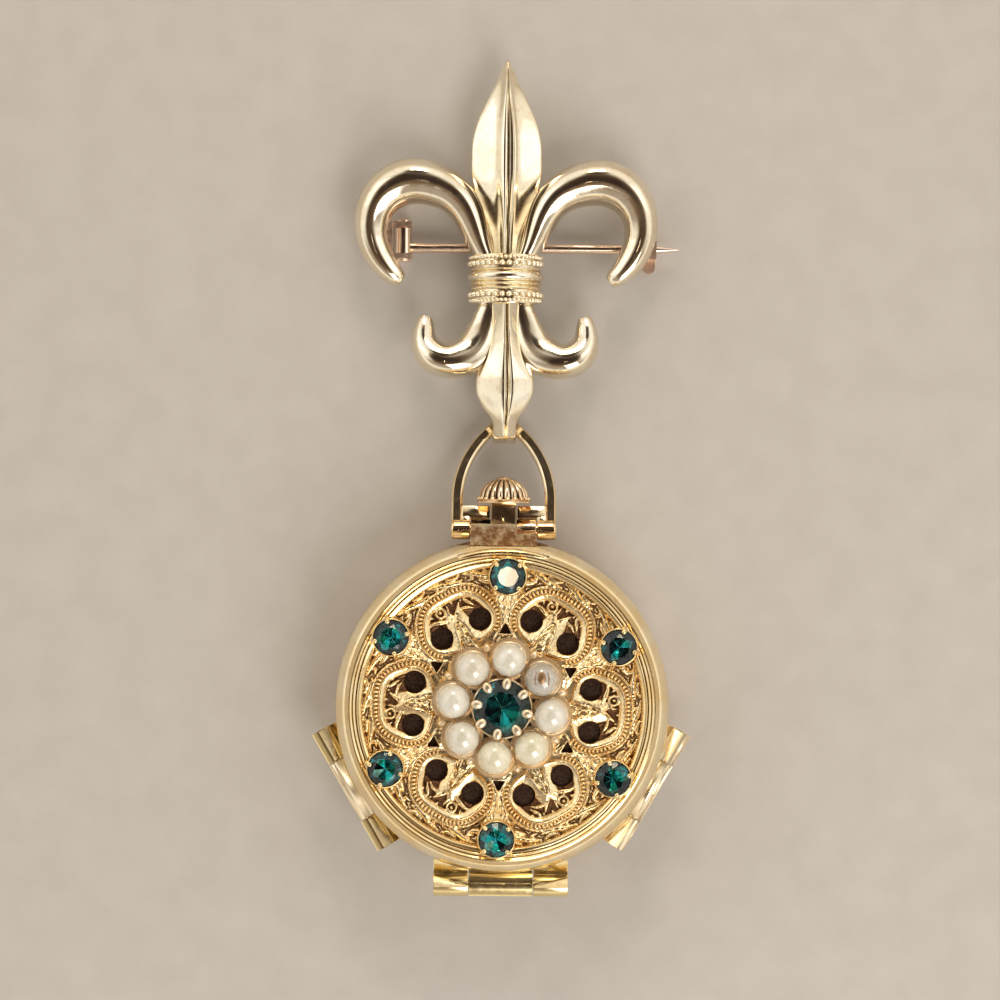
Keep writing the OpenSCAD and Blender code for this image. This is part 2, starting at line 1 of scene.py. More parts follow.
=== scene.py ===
"""Looks of the locket brooch: a cast fleur-de-lis brooch with a folding photo locket on a stirrup bow.

Sizes are in millimetres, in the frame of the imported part, and become metres when a mesh is made.
"""

import math

import bpy
import numpy as np
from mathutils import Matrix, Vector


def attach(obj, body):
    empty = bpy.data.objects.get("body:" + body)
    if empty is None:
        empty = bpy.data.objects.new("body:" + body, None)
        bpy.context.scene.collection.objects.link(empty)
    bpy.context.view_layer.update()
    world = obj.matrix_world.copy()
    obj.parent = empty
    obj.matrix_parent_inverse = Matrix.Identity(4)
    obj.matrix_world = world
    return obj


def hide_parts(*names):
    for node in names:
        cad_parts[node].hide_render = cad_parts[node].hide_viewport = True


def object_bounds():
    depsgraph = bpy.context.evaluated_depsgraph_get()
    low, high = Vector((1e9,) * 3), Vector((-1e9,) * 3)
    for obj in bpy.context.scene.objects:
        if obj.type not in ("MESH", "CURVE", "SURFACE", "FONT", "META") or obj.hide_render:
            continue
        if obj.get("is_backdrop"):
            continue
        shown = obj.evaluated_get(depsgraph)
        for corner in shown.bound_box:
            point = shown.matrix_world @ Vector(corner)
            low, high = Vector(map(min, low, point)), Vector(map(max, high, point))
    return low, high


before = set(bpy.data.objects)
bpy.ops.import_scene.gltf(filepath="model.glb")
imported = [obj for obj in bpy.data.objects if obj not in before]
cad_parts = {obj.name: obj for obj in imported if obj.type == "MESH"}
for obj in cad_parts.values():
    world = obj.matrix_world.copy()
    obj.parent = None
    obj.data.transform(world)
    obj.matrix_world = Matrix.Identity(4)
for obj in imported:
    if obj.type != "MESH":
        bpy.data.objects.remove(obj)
cad_low, cad_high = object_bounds()
MM = 0.001

# Places and sizes that part.scad gives, in millimetres
FLEUR_BACK = 3.4
COLLAR_Y = 19.7
COLLAR_HALF_W = 3.85
COLLAR_T = 3.7
BAR_Y, BAR_Z = -5.45, 5.0
EYE_Y, EYE_Z = 4.8, 1.5
BOW_HALF_W, STRAP_W, STRAP_T = 5.26, 1.13, 1.2
BOW_SIDE_H, BOW_TIP_HALF_W, BOW_PLATE = 3.0, 1.35, (1.15, 2.35)
JOURNAL_R, LUG_R, BOW_GAP = 0.6, 1.0, 0.1
NECK_HALF_W, TONGUE_HALF_W, NECK_BACK_Y, NECK_TOP = 3.25, 1.3, -7.0, 8.6
CASE_Y, RECESS_R = -22.85, 13.85
CASE = np.array([0.0, CASE_Y])
LOBE_FIRST, STONE_FIRST, PEARL_FIRST = 58.0, 88.0, 82.0
RIM_STONE_RING, RIM_STONE_R, RIM_GIRDLE_Z = 12.9, 1.66, 12.5
CENTRE_STONE_R, CENTRE_GIRDLE_Z = 2.8, 13.2
PEARL_RING, PEARL_R, PEARL_Z = 4.84, 1.68, 13.13
CROWN_BASE_Y = -2.75

# Petals: (distance from the collar, half width, thickness)
UPPER_PETAL = [
    (2.0, 1.65, 2.9), (4.45, 1.95, 2.7), (5.95, 2.35, 2.6), (7.45, 2.8, 2.6), (8.95, 3.2, 2.6),
    (10.45, 3.55, 2.5), (12.0, 3.6, 2.4), (13.95, 3.5, 2.3), (15.95, 3.0, 2.1),
    (17.95, 2.1, 1.8), (19.95, 1.1, 1.4), (21.1, 0.65, 1.1), (22.1, 0.15, 0.7),
]
LOWER_PETAL = [
    (-2.0, 1.4, 2.9), (-4.05, 1.45, 2.6), (-5.55, 1.65, 2.4), (-7.05, 2.05, 2.4),
    (-8.55, 2.55, 2.4), (-10.05, 2.9, 2.4), (-11.25, 2.9, 2.3), (-12.05, 2.65, 2.3),
    (-13.05, 2.1, 2.3), (-13.85, 1.5, 2.4), (-14.55, 1.2, 2.4), (-15.55, 1.15, 2.1),
    (-16.15, 0.9, 1.6), (-16.35, 0.5, 1.0),
]
# Arms: (distance from the middle, distance from the collar, half width, thickness). The middle line and
# the half width are the solid's; the thickness is the scene's own, mostly less.
UPPER_ARM = [
    (1.2, 1.2, 0.8, 1.7), (2.5, 2.95, 1.1, 2.0), (3.5, 6.15, 1.6, 2.5), (5.1, 8.55, 1.95, 2.95),
    (7.2, 9.55, 2.2, 3.3), (9.2, 10.0, 2.35, 3.4), (11.2, 9.5, 2.3, 3.3), (12.9, 8.05, 2.05, 2.95),
    (13.7, 5.6, 1.7, 2.45), (13.35, 3.4, 1.55, 2.15), (12.45, 1.75, 1.4, 1.9),
    (11.5, 0.65, 1.15, 1.6), (10.8, 0.1, 0.95, 1.3), (10.45, -0.15, 0.65, 0.9),
]
LOWER_ARM = [
    (1.3, -1.6, 1.0, 1.2), (1.75, -3.4, 1.35, 1.3), (2.2, -5.2, 1.75, 1.5), (2.95, -7.0, 2.05, 1.95),
    (4.4, -7.95, 2.0, 2.4), (5.7, -8.2, 1.8, 2.6), (6.7, -8.0, 1.75, 2.6), (7.5, -7.45, 1.7, 2.45),
    (8.15, -6.4, 1.4, 2.0), (8.2, -5.3, 1.15, 1.6), (8.1, -4.35, 0.95, 1.3),
    (7.95, -3.75, 0.65, 0.9),
]
# Sections across a petal, edge to edge: share of half width, share of thickness
UPPER_SECTION = [
    (-1.0, 0.0), (-1.0, 0.12), (-0.985, 0.2), (-0.95, 0.26), (-0.8, 0.38), (-0.6, 0.51), (-0.42, 0.64),
    (-0.3, 0.75), (-0.2, 0.87), (-0.12, 0.96), (-0.06, 0.99), (0.0, 0.96), (0.06, 0.84), (0.1, 0.78),
    (0.15, 0.83), (0.2, 0.9), (0.25, 0.87), (0.33, 0.76), (0.45, 0.65), (0.6, 0.53), (0.8, 0.38),
    (0.95, 0.26), (0.985, 0.2), (1.0, 0.12), (1.0, 0.0),
]
LOWER_SECTION = [
    (-1.0, 0.0), (-1.0, 0.3), (-0.98, 0.42), (-0.92, 0.5), (-0.8, 0.6), (-0.6, 0.73), (-0.4, 0.84),
    (-0.25, 0.92), (-0.12, 0.98), (-0.02, 1.0), (0.05, 0.93), (0.1, 0.8), (0.16, 0.87), (0.25, 0.94),
    (0.4, 0.87), (0.6, 0.74), (0.8, 0.6), (0.92, 0.5), (0.98, 0.42), (1.0, 0.3), (1.0, 0.0),
]
# An arm's section from its outer edge over the crest to the crease and wall of its inner side
ARM_SECTION = [
    (-1.0, 0.0), (-0.99, 0.14), (-0.95, 0.34), (-0.88, 0.52), (-0.78, 0.69), (-0.65, 0.82), (-0.5, 0.91),
    (-0.33, 0.97), (-0.16, 0.995), (0.0, 1.0), (0.1, 0.995), (0.2, 0.979), (0.3, 0.957), (0.45, 0.912),
    (0.6, 0.852), (0.7, 0.785), (0.78, 0.69), (0.85, 0.56), (0.92, 0.36), (0.97, 0.18), (1.0, 0.0),
]


def smooth_rows(rows, steps):
    """Points on a smooth curve through the rows."""
    rows = np.array(rows, float)
    padded = np.vstack([rows[:1], rows, rows[-1:]])
    t = (np.arange(steps) / steps)[:, None]
    parts = []
    for a, b, c, d in zip(padded, padded[1:], padded[2:], padded[3:]):
        parts.append(0.5 * (2 * b + (c - a) * t + (2 * a - 5 * b + 4 * c - d) * t**2
                            + (3 * b - a - 3 * c + d) * t**3))
    return np.vstack(parts + [rows[-1:]])


def eased(rows, reach):
    """Rows averaged with their neighbours, so that small corners go; the ends stay."""
    count = len(rows)
    return np.array([rows[i - k:i + k + 1].mean(0) for i in range(count)
                     for k in [min(reach, i, count - 1 - i)]])


def polar(r, degrees):
    """A point at a distance and an angle."""
    a = np.radians(degrees)
    return np.array([r * np.cos(a), r * np.sin(a)])


def spread(count, first):
    """Unit vectors spread evenly round a middle, each with its angle in degrees."""
    return [(polar(1.0, a), a) for a in first + 360 / count * np.arange(count)]


def add_object(name, data):
    """A new object in the scene."""
    obj = bpy.data.objects.new(name, data)
    bpy.context.scene.collection.objects.link(obj)
    return obj


class Shape:
    """Vertices and faces of one piece in millimetres, gathered part by part."""

    def __init__(self):
        self.points = []
        self.faces = []
        self.tints = []
        self.count = 0

    def add(self, points, faces, tint=0):
        points = np.asarray(points, float).reshape(-1, 3)
        self.points.append(points)
        self.faces += [tuple(int(i) + self.count for i in face) for face in faces]
        self.tints += [tint] * len(faces)
        self.count += len(points)
        return self

    def rings(self, rings, caps=True, tint=0):
        """A skin over rings of points with the same number of points each."""
        rings = np.asarray(rings, float)
        m, n = rings.shape[:2]
        faces = [(i * n + j, i * n + (j + 1) % n, (i + 1) * n + (j + 1) % n, (i + 1) * n + j)
                 for i in range(m - 1) for j in range(n)]
        if caps:
            faces.append(tuple(range(n - 1, -1, -1)))
            faces.append(tuple((m - 1) * n + j for j in range(n)))
        return self.add(rings, faces, tint)

    def ball(self, centre, radii, across=12, along=8, turn=0.0, tint=0):
        """An ellipsoid, turned about the vertical by an angle in degrees."""
        rx, ry, rz = radii
        c, s = math.cos(math.radians(turn)), math.sin(math.radians(turn))
        rows = []
        for i in range(along + 1):
            lat = math.pi * (i / along - 0.5)
            a = np.arange(across) * 2 * math.pi / across
            x, y = rx * math.cos(lat) * np.cos(a), ry * math.cos(lat) * np.sin(a)
            z = np.full(across, rz * math.sin(lat))
            rows.append(np.stack([x * c - y * s, x * s + y * c, z], 1) + np.array(centre))
        return self.rings(rows, tint=tint)

    def tube(self, path, radii, sides, tint=0):
        """A round bar along a path."""
        path = np.asarray(path, float)
        radii = np.broadcast_to(np.asarray(radii, float), (len(path),))
        ahead = np.gradient(path, axis=0)
        ahead /= np.linalg.norm(ahead, axis=1)[:, None]
        up = np.array([0.0, 0.0, 1.0])
        rows = []
        for p, d, r in zip(path, ahead, radii):
            side = np.cross(d, up)
            size = np.linalg.norm(side)
            side = side / size if size > 1e-6 else np.array([1.0, 0.0, 0.0])
            over = np.cross(side, d)
            a = np.arange(sides) * 2 * math.pi / sides
            rows.append(p + r * (np.cos(a)[:, None] * side + np.sin(a)[:, None] * over))
        return self.rings(rows, tint=tint)

    def turned(self, profile, centre=(0.0, 0.0), steps=192, tint=0):
        """A profile of (radius, height) turned all round a vertical line."""
        profile = np.asarray(profile, float)
        a = np.arange(steps) * 2 * math.pi / steps
        rows = [np.stack([centre[0] + r * np.cos(a), centre[1] + r * np.sin(a),
                          np.full(steps, z)], 1) for r, z in profile]
        return self.rings(rows, caps=False, tint=tint)

    def spindle(self, profile, place, steps=40, tint=0):
        """A profile of (distance along, radius) turned about a line along X through a place."""
        a = np.arange(steps) * 2 * math.pi / steps
        rows = [[place(x, r * math.cos(t), r * math.sin(t)) for t in a] for x, r in profile]
        return self.rings(rows, tint=tint)

    def box(self, low, high, place, soft=0.08, tint=0, drop=None):
        """A box between two corners with chamfered edges all round; drop is the chamfer's height."""
        (x0, y0, z0), (x1, y1, z1) = low, high

        def outline(inset, z):
            c = soft + inset
            return [place(x, y, z) for x, y in (
                (x0 + inset, y0 + c), (x0 + c, y0 + inset), (x1 - c, y0 + inset), (x1 - inset, y0 + c),
                (x1 - inset, y1 - c), (x1 - c, y1 - inset), (x0 + c, y1 - inset), (x0 + inset, y1 - c))]

        fall = drop or soft
        return self.rings([outline(soft, z0), outline(0.0, z0 + fall), outline(0.0, z1 - fall),
                           outline(soft, z1)], tint=tint)

    def piece(self, name, body, materials, slot, replaces=(), sharp=40.0):
        """Makes the Blender object, rides it on its body and gives it its finish."""
        mesh = bpy.data.meshes.new(name)
        mesh.from_pydata(np.vstack(self.points) * MM, [], self.faces)
        for material in materials if isinstance(materials, (list, tuple)) else [materials]:
            mesh.materials.append(material)
        mesh.polygons.foreach_set("material_index", np.array(self.tints, np.int32))
        mesh.update()
        mesh.validate()
        mesh.shade_smooth()
        mesh.set_sharp_from_angle(angle=math.radians(sharp))
        obj = add_object(name, mesh)
        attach(obj, body)
        if replaces:
            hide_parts(*replaces)


# Materials

def set_inputs(tree, node, inputs):
    """Gives a node's inputs their values, or a link where the value is a socket."""
    for name, value in inputs.items():
        if isinstance(value, bpy.types.NodeSocket):
            tree.links.new(value, node.inputs[name])
        else:
            node.inputs[name].default_value = value
    return node


def add_node(tree, kind, inputs, **settings):
    """A new node with its settings and inputs."""
    node = tree.nodes.new(kind)
    for name, value in settings.items():
        setattr(node, name, value)
    return set_inputs(tree, node, inputs)


def ramp(tree, factor, stops):
    """A colour ramp over a factor."""
    node = add_node(tree, "ShaderNodeValToRGB", {"Fac": factor})
    elements = node.color_ramp.elements
    while len(elements) < len(stops):
        elements.new(0.5)
    for element, (place, colour) in zip(elements, stops):
        element.position = place
        element.color = (*colour, 1.0)
    return node.outputs["Color"]


def noise(tree, place, scale, detail=3.0, stretch=(1, 1, 1), rough=0.5):
    """Noise over the surface; scale is in features per millimetre."""
    mapping = add_node(tree, "ShaderNodeMapping", {"Vector": place, "Scale": [s / MM for s in stretch]})
    return add_node(tree, "ShaderNodeTexNoise", {
        "Vector": mapping.outputs["Vector"], "Scale": scale, "Detail": detail, "Roughness": rough,
    }).outputs["Fac"]


def mapped(tree, value, low, high, to_low=0.0, to_high=1.0):
    """A value moved from one range to another, held inside it."""
    return add_node(tree, "ShaderNodeMapRange", {
        "Value": value, "From Min": low, "From Max": high, "To Min": to_low, "To Max": to_high,
    }).outputs["Result"]


def mixed(tree, factor, a, b):
    """One colour turning into another."""
    a, b = [c if isinstance(c, bpy.types.NodeSocket) else (*c, 1.0) for c in (a, b)]
    return add_node(tree, "ShaderNodeMix", {"Factor": factor, "A": a, "B": b},
                    data_type="RGBA").outputs["Result"]


def combined(tree, operation, a, b):
    """Arithmetic on two values."""
    return add_node(tree, "ShaderNodeMath", {0: a, 1: b}, operation=operation).outputs["Value"]


def bumped(tree, shader, height, depth):
    """Relief from a value between 0 and 1, depth in millimetres."""
    node = add_node(tree, "ShaderNodeBump", {"Distance": depth * MM, "Height": height})
    tree.links.new(node.outputs["Normal"], shader.inputs["Normal"])


def new_material(name):
    material = bpy.data.materials.new(name)
    material.use_nodes = True
    tree = material.node_tree
    coordinates = tree.nodes.new("ShaderNodeTexCoord")
    return material, tree, tree.nodes["Principled BSDF"], coordinates.outputs["Object"]


def metal(name, light, deep, rough=(0.1, 0.22), dents=0.004, grain=0.0012, stain=None, recess=None,
          recess_r=None, rim=None, tarnish_y=None):
    """Plated metal: two tones in soft clouds, uneven polish, a hammered skin and fine scratches.
    stain is (colour, how much), recess (colour, low, high) a dark mottled colour below a height, partly the
    ground's own brown and partly painted shade in the low places, which ends under a fourth value where
    there is one and recess_r away from the locket's middle, rim (colour, radius) another tone outside a
    radius, tarnish_y (colour, onset from, to, end from, to) a patchy tarnish along it."""
    material, tree, shader, place = new_material(name)
    clouds = noise(tree, place, 0.35, 4.0)
    colour = ramp(tree, clouds, [(0.35, light), (0.65, deep)])
    height = add_node(tree, "ShaderNodeSeparateXYZ", {"Vector": place})
    polish = mapped(tree, noise(tree, place, 1.6, 5.0), 0.3, 0.7, *rough)
    from_case = add_node(tree, "ShaderNodeVectorMath", {
        0: place, 1: (1.0, 1.0, 0.0), 2: (0.0, -CASE_Y * MM, 0.0)}, operation="MULTIPLY_ADD")
    away = add_node(tree, "ShaderNodeVectorMath", {0: from_case.outputs["Vector"]},
                    operation="LENGTH").outputs["Value"]
    if rim:
        outside = mapped(tree, away, (rim[1] - 0.1) * MM, (rim[1] + 0.1) * MM)
        colour = mixed(tree, outside, colour, rim[0])
    if stain:
        spots = mapped(tree, noise(tree, place, 1.1, 6.0, rough=0.65), 0.52, 0.68, 0.0, stain[1])
        colour = mixed(tree, spots, colour, stain[0])
        polish = combined(tree, "ADD", polish, combined(tree, "MULTIPLY", spots, 0.18))
    # Partly painted shade: below a height the colour turns a dark mottled brown, partly the ground's own
    # brown and partly shade in the low places
    if recess:
        ragged = combined(tree, "MULTIPLY", combined(tree, "SUBTRACT", noise(tree, place, 3.0), 0.5),
                          0.35 * MM)
        level = combined(tree, "ADD", height.outputs["Z"], ragged)
        depth = mapped(tree, level, recess[1] * MM, recess[2] * MM, 1.0, 0.0)
        if len(recess) > 3:
            above = mapped(tree, height.outputs["Z"], (recess[3] - 0.1) * MM, (recess[3] + 0.1) * MM)
            depth = combined(tree, "MULTIPLY", depth, above)
        if recess_r:
            within = mapped(tree, away, (recess_r - 0.1) * MM, (recess_r + 0.1) * MM, 1.0, 0.0)
            depth = combined(tree, "MULTIPLY", depth, within)
        mottle = ramp(tree, noise(tree, place, 4.5, 5.0, rough=0.7),
                      [(0.38, recess[0]), (0.66, tuple(min(1.0, 3.2 * c) for c in recess[0]))])
        colour = mixed(tree, depth, colour, mottle)
        polish = combined(tree, "ADD", polish, combined(tree, "MULTIPLY", depth, 0.22))
    if tarnish_y:
        onset = mapped(tree, height.outputs["Y"], tarnish_y[1] * MM, tarnish_y[2] * MM)
        finish = mapped(tree, height.outputs["Y"], tarnish_y[3] * MM, tarnish_y[4] * MM, 1.0, 0.0)
        along = combined(tree, "MULTIPLY", onset, finish)
        patchy = mapped(tree, noise(tree, place, 1.3, 6.0, rough=0.75), 0.4, 0.56, 0.25, 1.0)
        amount = combined(tree, "MULTIPLY", along, patchy)
        colour = mixed(tree, amount, colour, tarnish_y[0])
        polish = combined(tree, "ADD", polish, combined(tree, "MULTIPLY", along, 0.3))
    set_inputs(tree, shader, {"Base Color": colour, "Roughness": polish, "Metallic": 1.0})
    waves = noise(tree, place, 0.8, 2.0)
    scratches = noise(tree, place, 1.0, 4.0, stretch=(6.0, 0.7, 2.0), rough=0.7)
    relief = combined(tree, "ADD", combined(tree, "MULTIPLY", waves, dents / (dents + grain)),
                      combined(tree, "MULTIPLY", scratches, grain / (dents + grain)))
    bumped(tree, shader, relief, dents + grain)
    return material


CHAMPAGNE = (0.95, 0.79, 0.54)
CHAMPAGNE_DEEP = (0.9, 0.69, 0.4)
IVORY = (0.96, 0.89, 0.72)
IVORY_DEEP = (0.91, 0.79, 0.59)
YELLOW = (0.98, 0.79, 0.46)
YELLOW_DEEP = (0.92, 0.67, 0.32)
LEMON = (0.95, 0.77, 0.4)
# BROWN and HOLE_BROWN: dark colours of the low ground and of the ground under the piercings, partly painted
# shade
BROWN = (0.11, 0.055, 0.026)
HOLE_BROWN = (0.045, 0.026, 0.018)

gold = metal("gold", IVORY, IVORY_DEEP, rough=(0.06, 0.15), stain=((0.5, 0.3, 0.18), 0.22))
bow_gold = metal("bow_gold", CHAMPAGNE, CHAMPAGNE_DEEP, rough=(0.05, 0.14), dents=0.002,
                 stain=((0.3, 0.2, 0.1), 0.3))
bezel_gold = metal("bezel_gold", YELLOW, YELLOW_DEEP, rough=(0.1, 0.2), dents=0.003,
                   stain=((0.5, 0.3, 0.13), 0.25))
hinge_gold = metal("hinge_gold", (1.0, 0.84, 0.52), (0.96, 0.74, 0.38), rough=(0.24, 0.36),
                   stain=((0.4, 0.2, 0.07), 0.25))
# Below a height the filigree turns dark brown: partly its ground's own brown, partly painted shade in the
# low places and the rope's gaps
filigree_gold = metal("filigree_gold", (1.0, 0.82, 0.5), (0.95, 0.7, 0.36), rough=(0.15, 0.3), dents=0.008,
                      stain=((0.5, 0.26, 0.09), 0.3), recess=(BROWN, 10.78, 11.06), grain=0.004)
cup_gold = metal("cup_gold", (1.0, 0.86, 0.66), (0.93, 0.72, 0.46), rough=(0.3, 0.42),
                 stain=((0.45, 0.26, 0.1), 0.25))
# Inside the piercings' ring the cover and the frame behind turn near-black brown below a height: partly the
# dark ground, partly painted shade in the holes
case_gold = metal("case_gold", (1.0, 0.88, 0.62), (0.97, 0.77, 0.44), rough=(0.14, 0.26), dents=0.003,
                  stain=((0.5, 0.3, 0.14), 0.12), rim=(LEMON, 16.6), recess_r=13.9,
                  recess=(HOLE_BROWN, 10.3, 10.6, 9.95))
frame_gold = metal("frame_gold", (0.97, 0.85, 0.64), (0.93, 0.76, 0.5), rough=(0.36, 0.48), dents=0.003,
                   stain=((0.5, 0.3, 0.14), 0.12))
neck_gold = metal("neck_gold", (1.0, 0.88, 0.64), (0.88, 0.66, 0.38), rough=(0.2, 0.32),
                  tarnish_y=((0.36, 0.18, 0.08), -7.7, -7.2, -5.2, -4.8))
crown_gold = metal("crown_gold", (0.94, 0.76, 0.54), (0.86, 0.62, 0.4), rough=(0.08, 0.18),
                   stain=((0.12, 0.07, 0.03), 0.4))
pin_steel = metal("pin_steel", (0.93, 0.76, 0.62), (0.82, 0.63, 0.5), rough=(0.12, 0.2), dents=0.001,
                  grain=0.002)
finding_gold = metal("finding_gold", (1.0, 0.78, 0.62), (0.88, 0.62, 0.46), rough=(0.28, 0.42), dents=0.004)
groove_gold = metal("groove_gold", (0.2, 0.12, 0.06), (0.1, 0.06, 0.03), rough=(0.3, 0.45))
peg_brown = metal("peg_brown", (0.45, 0.27, 0.14), (0.3, 0.17, 0.09), rough=(0.3, 0.45))


def foil(name, colour):
    """The foiled back of a cut stone, one tone to a facet; the dark and the bright tones are painted dark
    reflections and painted flashes.
    """
    material, tree, shader, place = new_material(name)
    tone = ramp(tree, noise(tree, place, 1.4, 2.0),
                [(0.3, tuple(0.6 * c for c in colour)), (0.7, colour)])
    set_inputs(tree, shader, {"Base Color": tone, "Metallic": 0.85, "Roughness": 0.12})
    return material


def glass(name, colour, ior, rough):
    """Clear coloured glass with a breath of unevenness in its polish."""
    material, tree, shader, place = new_material(name)
    polish = mapped(tree, noise(tree, place, 2.0, 3.0), 0.3, 0.7, 0.0, rough)
    set_inputs(tree, shader, {"Base Color": (*colour, 1.0), "Roughness": polish,
                              "Transmission Weight": 1.0, "IOR": ior})
    return material


# Foil tones: teal and green are the stones' colour; the dark, cyan and silver ones are painted dark
# reflections and painted flashes
stone_materials = [
    glass("stone_glass", (0.45, 0.86, 0.86), 1.56, 0.02),
    foil("foil_painted_dark", (0.0, 0.02, 0.026)),
    foil("foil_teal", (0.003, 0.13, 0.14)),
    foil("foil_painted_flash", (0.05, 0.85, 0.95)),
    foil("foil_green", (0.01, 0.32, 0.25)),
    foil("foil_painted_glint", (0.6, 0.9, 0.88)),
]


def pearl_material(name, light, deep, clear=0.0):
    """Imitation pearl: a cream body with a soft metallic lustre under a thin clear skin."""
    material, tree, shader, place = new_material(name)
    set_inputs(tree, shader, {
        "Base Color": ramp(tree, noise(tree, place, 0.6, 3.0), [(0.35, light), (0.65, deep)]),
        "Roughness": mapped(tree, noise(tree, place, 2.5, 4.0), 0.3, 0.7, 0.2, 0.34),
        "Metallic": 0.0 if clear else 0.06, "Transmission Weight": clear,
        "Subsurface Weight": 0.2, "Subsurface Radius": (1.0, 0.8, 0.6), "Subsurface Scale": 0.4 * MM,
        "Coat Weight": 1.0, "Coat Roughness": 0.05, "Coat IOR": 1.8,
    })
    bumped(tree, shader, noise(tree, place, 1.2, 3.0), 0.006)
    return material


pearl_cream = pearl_material("pearl_cream", (0.86, 0.82, 0.73), (0.76, 0.7, 0.56))
pearl_warm = pearl_material("pearl_warm", (0.88, 0.83, 0.66), (0.8, 0.73, 0.52))
pearl_worn = pearl_material("pearl_worn", (0.86, 0.81, 0.72), (0.66, 0.6, 0.5), clear=0.35)


# The fleur-de-lis

fleur = Shape()


def petal(table, section):
    section = smooth_rows(section, 3)
    fleur.rings([np.stack([section[:, 0] * w, np.full(len(section), COLLAR_Y + along),
                           FLEUR_BACK + section[:, 1] * t], 1) for along, w, t in smooth_rows(table, 8)])


def arm(table, side, inner):
    """One arm; inner is 1 where the curl's middle lies to the right of the arm's way out, else -1."""
    rows = eased(smooth_rows(table, 9), 6)
    section = smooth_rows(ARM_SECTION, 3) * np.array([inner, 1.0])
    ahead = np.gradient(rows[:, :2], axis=0)
    across = np.stack([ahead[:, 1], -ahead[:, 0]], 1) / np.linalg.norm(ahead, axis=1)[:, None]
    rings = []
    for (x, along, w, t), (ax, ay) in zip(rows, across):
        u = section[:, 0] * w
        rings.append(np.stack([side * (x + ax * u), COLLAR_Y + along + ay * u,
                               FLEUR_BACK + section[:, 1] * t], 1))
    fleur.rings(rings if side * inner > 0 else rings[::-1])


petal(UPPER_PETAL, UPPER_SECTION)
petal(LOWER_PETAL[::-1], LOWER_SECTION)
for side in (1, -1):
    arm(UPPER_ARM, side, 1)
    arm(LOWER_ARM, side, -1)

# The collar: its outline along the brooch as (distance, share of the full size)
COLLAR_PROFILE = [
    (-2.5, 0.78), (-2.44, 0.84), (-2.3, 0.87), (-1.2, 0.87), (-1.12, 0.86), (-1.04, 0.93),
    (-0.9, 0.97), (-0.76, 0.93), (-0.68, 0.88), (-0.6, 0.94), (-0.46, 0.98), (-0.32, 0.94),
    (-0.25, 0.89), (-0.15, 0.95), (0.1, 1.0), (0.45, 1.0), (0.7, 0.95), (0.78, 0.89),
    (0.86, 0.93), (0.96, 0.96), (1.06, 0.93), (1.12, 0.86), (1.2, 0.87),
    (2.3, 0.87), (2.44, 0.84), (2.5, 0.78),
]


def collar_point(along, share, degrees):
    a = math.radians(degrees)
    return (COLLAR_HALF_W * share * math.cos(a), COLLAR_Y + along,
            FLEUR_BACK + COLLAR_T * share * math.sin(a))


fleur.rings([[collar_point(along, share, a) for a in np.linspace(180, 0, 61)]
             for along, share in smooth_rows(COLLAR_PROFILE, 2)])


def bead_row(along, count, size, long):
    for a in np.linspace(5, 175, count):
        fleur.ball(collar_point(along, 0.93, a), (size, long, size), 12, 8)


for end in (-1, 1):
    bead_row(end * 1.56, 16, 0.34, 0.31)
    bead_row(end * 2.15, 25, 0.22, 0.2)

fleur.piece("fleur_casting", "brooch", gold, "gold", ["fleur"], sharp=50)


# The pierced ornament: one height over every point of a fine grid

GRID = 0.085
FLOOR_Z, CHANNEL_Z, ROPE_BED_Z, STRAP_Z, HEART_Z, TONGUE_Z = 10.66, 10.76, 10.98, 11.12, 10.95, 10.98
BAND_OUT, BAND_IN, BAND_TOP, BAND_DROP = 0.06, -0.6, 11.36, 0.46
NOTCH_TOP = 9.7
ROPE_AT, ROPE_OUT, ROPE_PITCH, ROPE_Z, ROPE_BALL = 0.36, 0.62, 0.38, 11.1, (0.155, 0.27, 0.3)
WIRE_AT, WIRE_HALF_W = 0.82, 0.15
# Heights of the relief over its ground, and the half width at which a stroke has its full height
SCROLL_RISE, DOT_RISE, LEAF_RISE, WIRE_RISE, TONGUE_RISE, BACKING_RISE = 0.56, 0.5, 0.46, 0.4, 0.34, 0.28
FULL_HALF_W, LEAF_SWELL = 0.3, 1.25
# A lobe's outline is the union of three pairs of discs: (out from the middle, across, radius)
LOBE_DISCS = [(8.9, 1.8, 1.76), (10.2, 1.42, 1.58), (9.4, 0.0, 2.62)]
LOBE_SOFT = 0.9
HOLE_AT, HOLE_R, HOLE_FOOT_Z = (8.7, 2.1), 1.1, 10.3
TRIANGLE_AT, TRIANGLE_R = 7.6, 0.375


def mirrored(strokes):
    """Each stroke and its mirror image on the other side of the lobe's middle line."""
    return [[(out, side * aside, half_w) for out, aside, half_w in stroke]
            for stroke in strokes for side in (1, -1)]


# Strokes of one lobe's scrollwork: points (out from the middle, across) with half widths
SCROLLS = [
    [(9.5, 0.35, 0.1), (9.85, 0.9, 0.24), (10.1, 1.5, 0.33), (10.3, 2.15, 0.26), (10.2, 2.7, 0.08)],
    [(9.75, 0.1, 0.1), (10.2, -0.2, 0.22), (10.6, -0.6, 0.27), (11.1, -0.95, 0.12)],
    [(10.5, -0.6, 0.08), (10.45, -1.1, 0.2), (10.25, -1.6, 0.22), (9.95, -2.05, 0.08)],
    [(9.6, -0.15, 0.08), (9.5, -0.7, 0.17), (9.4, -1.15, 0.08)],
    [(10.2, -2.2, 0.08), (10.65, -1.9, 0.22), (11.1, -1.55, 0.18), (11.35, -1.7, 0.07)],
    [(10.1, 0.1, 0.08), (10.5, 0.4, 0.15), (10.95, 0.3, 0.15), (11.3, 0.3, 0.07)],
    [(10.5, -2.7, 0.07), (10.15, -2.95, 0.16), (9.9, -3.15, 0.07)],
    [(10.75, 1.95, 0.07), (10.95, 2.15, 0.15), (10.75, 2.55, 0.07)],
]
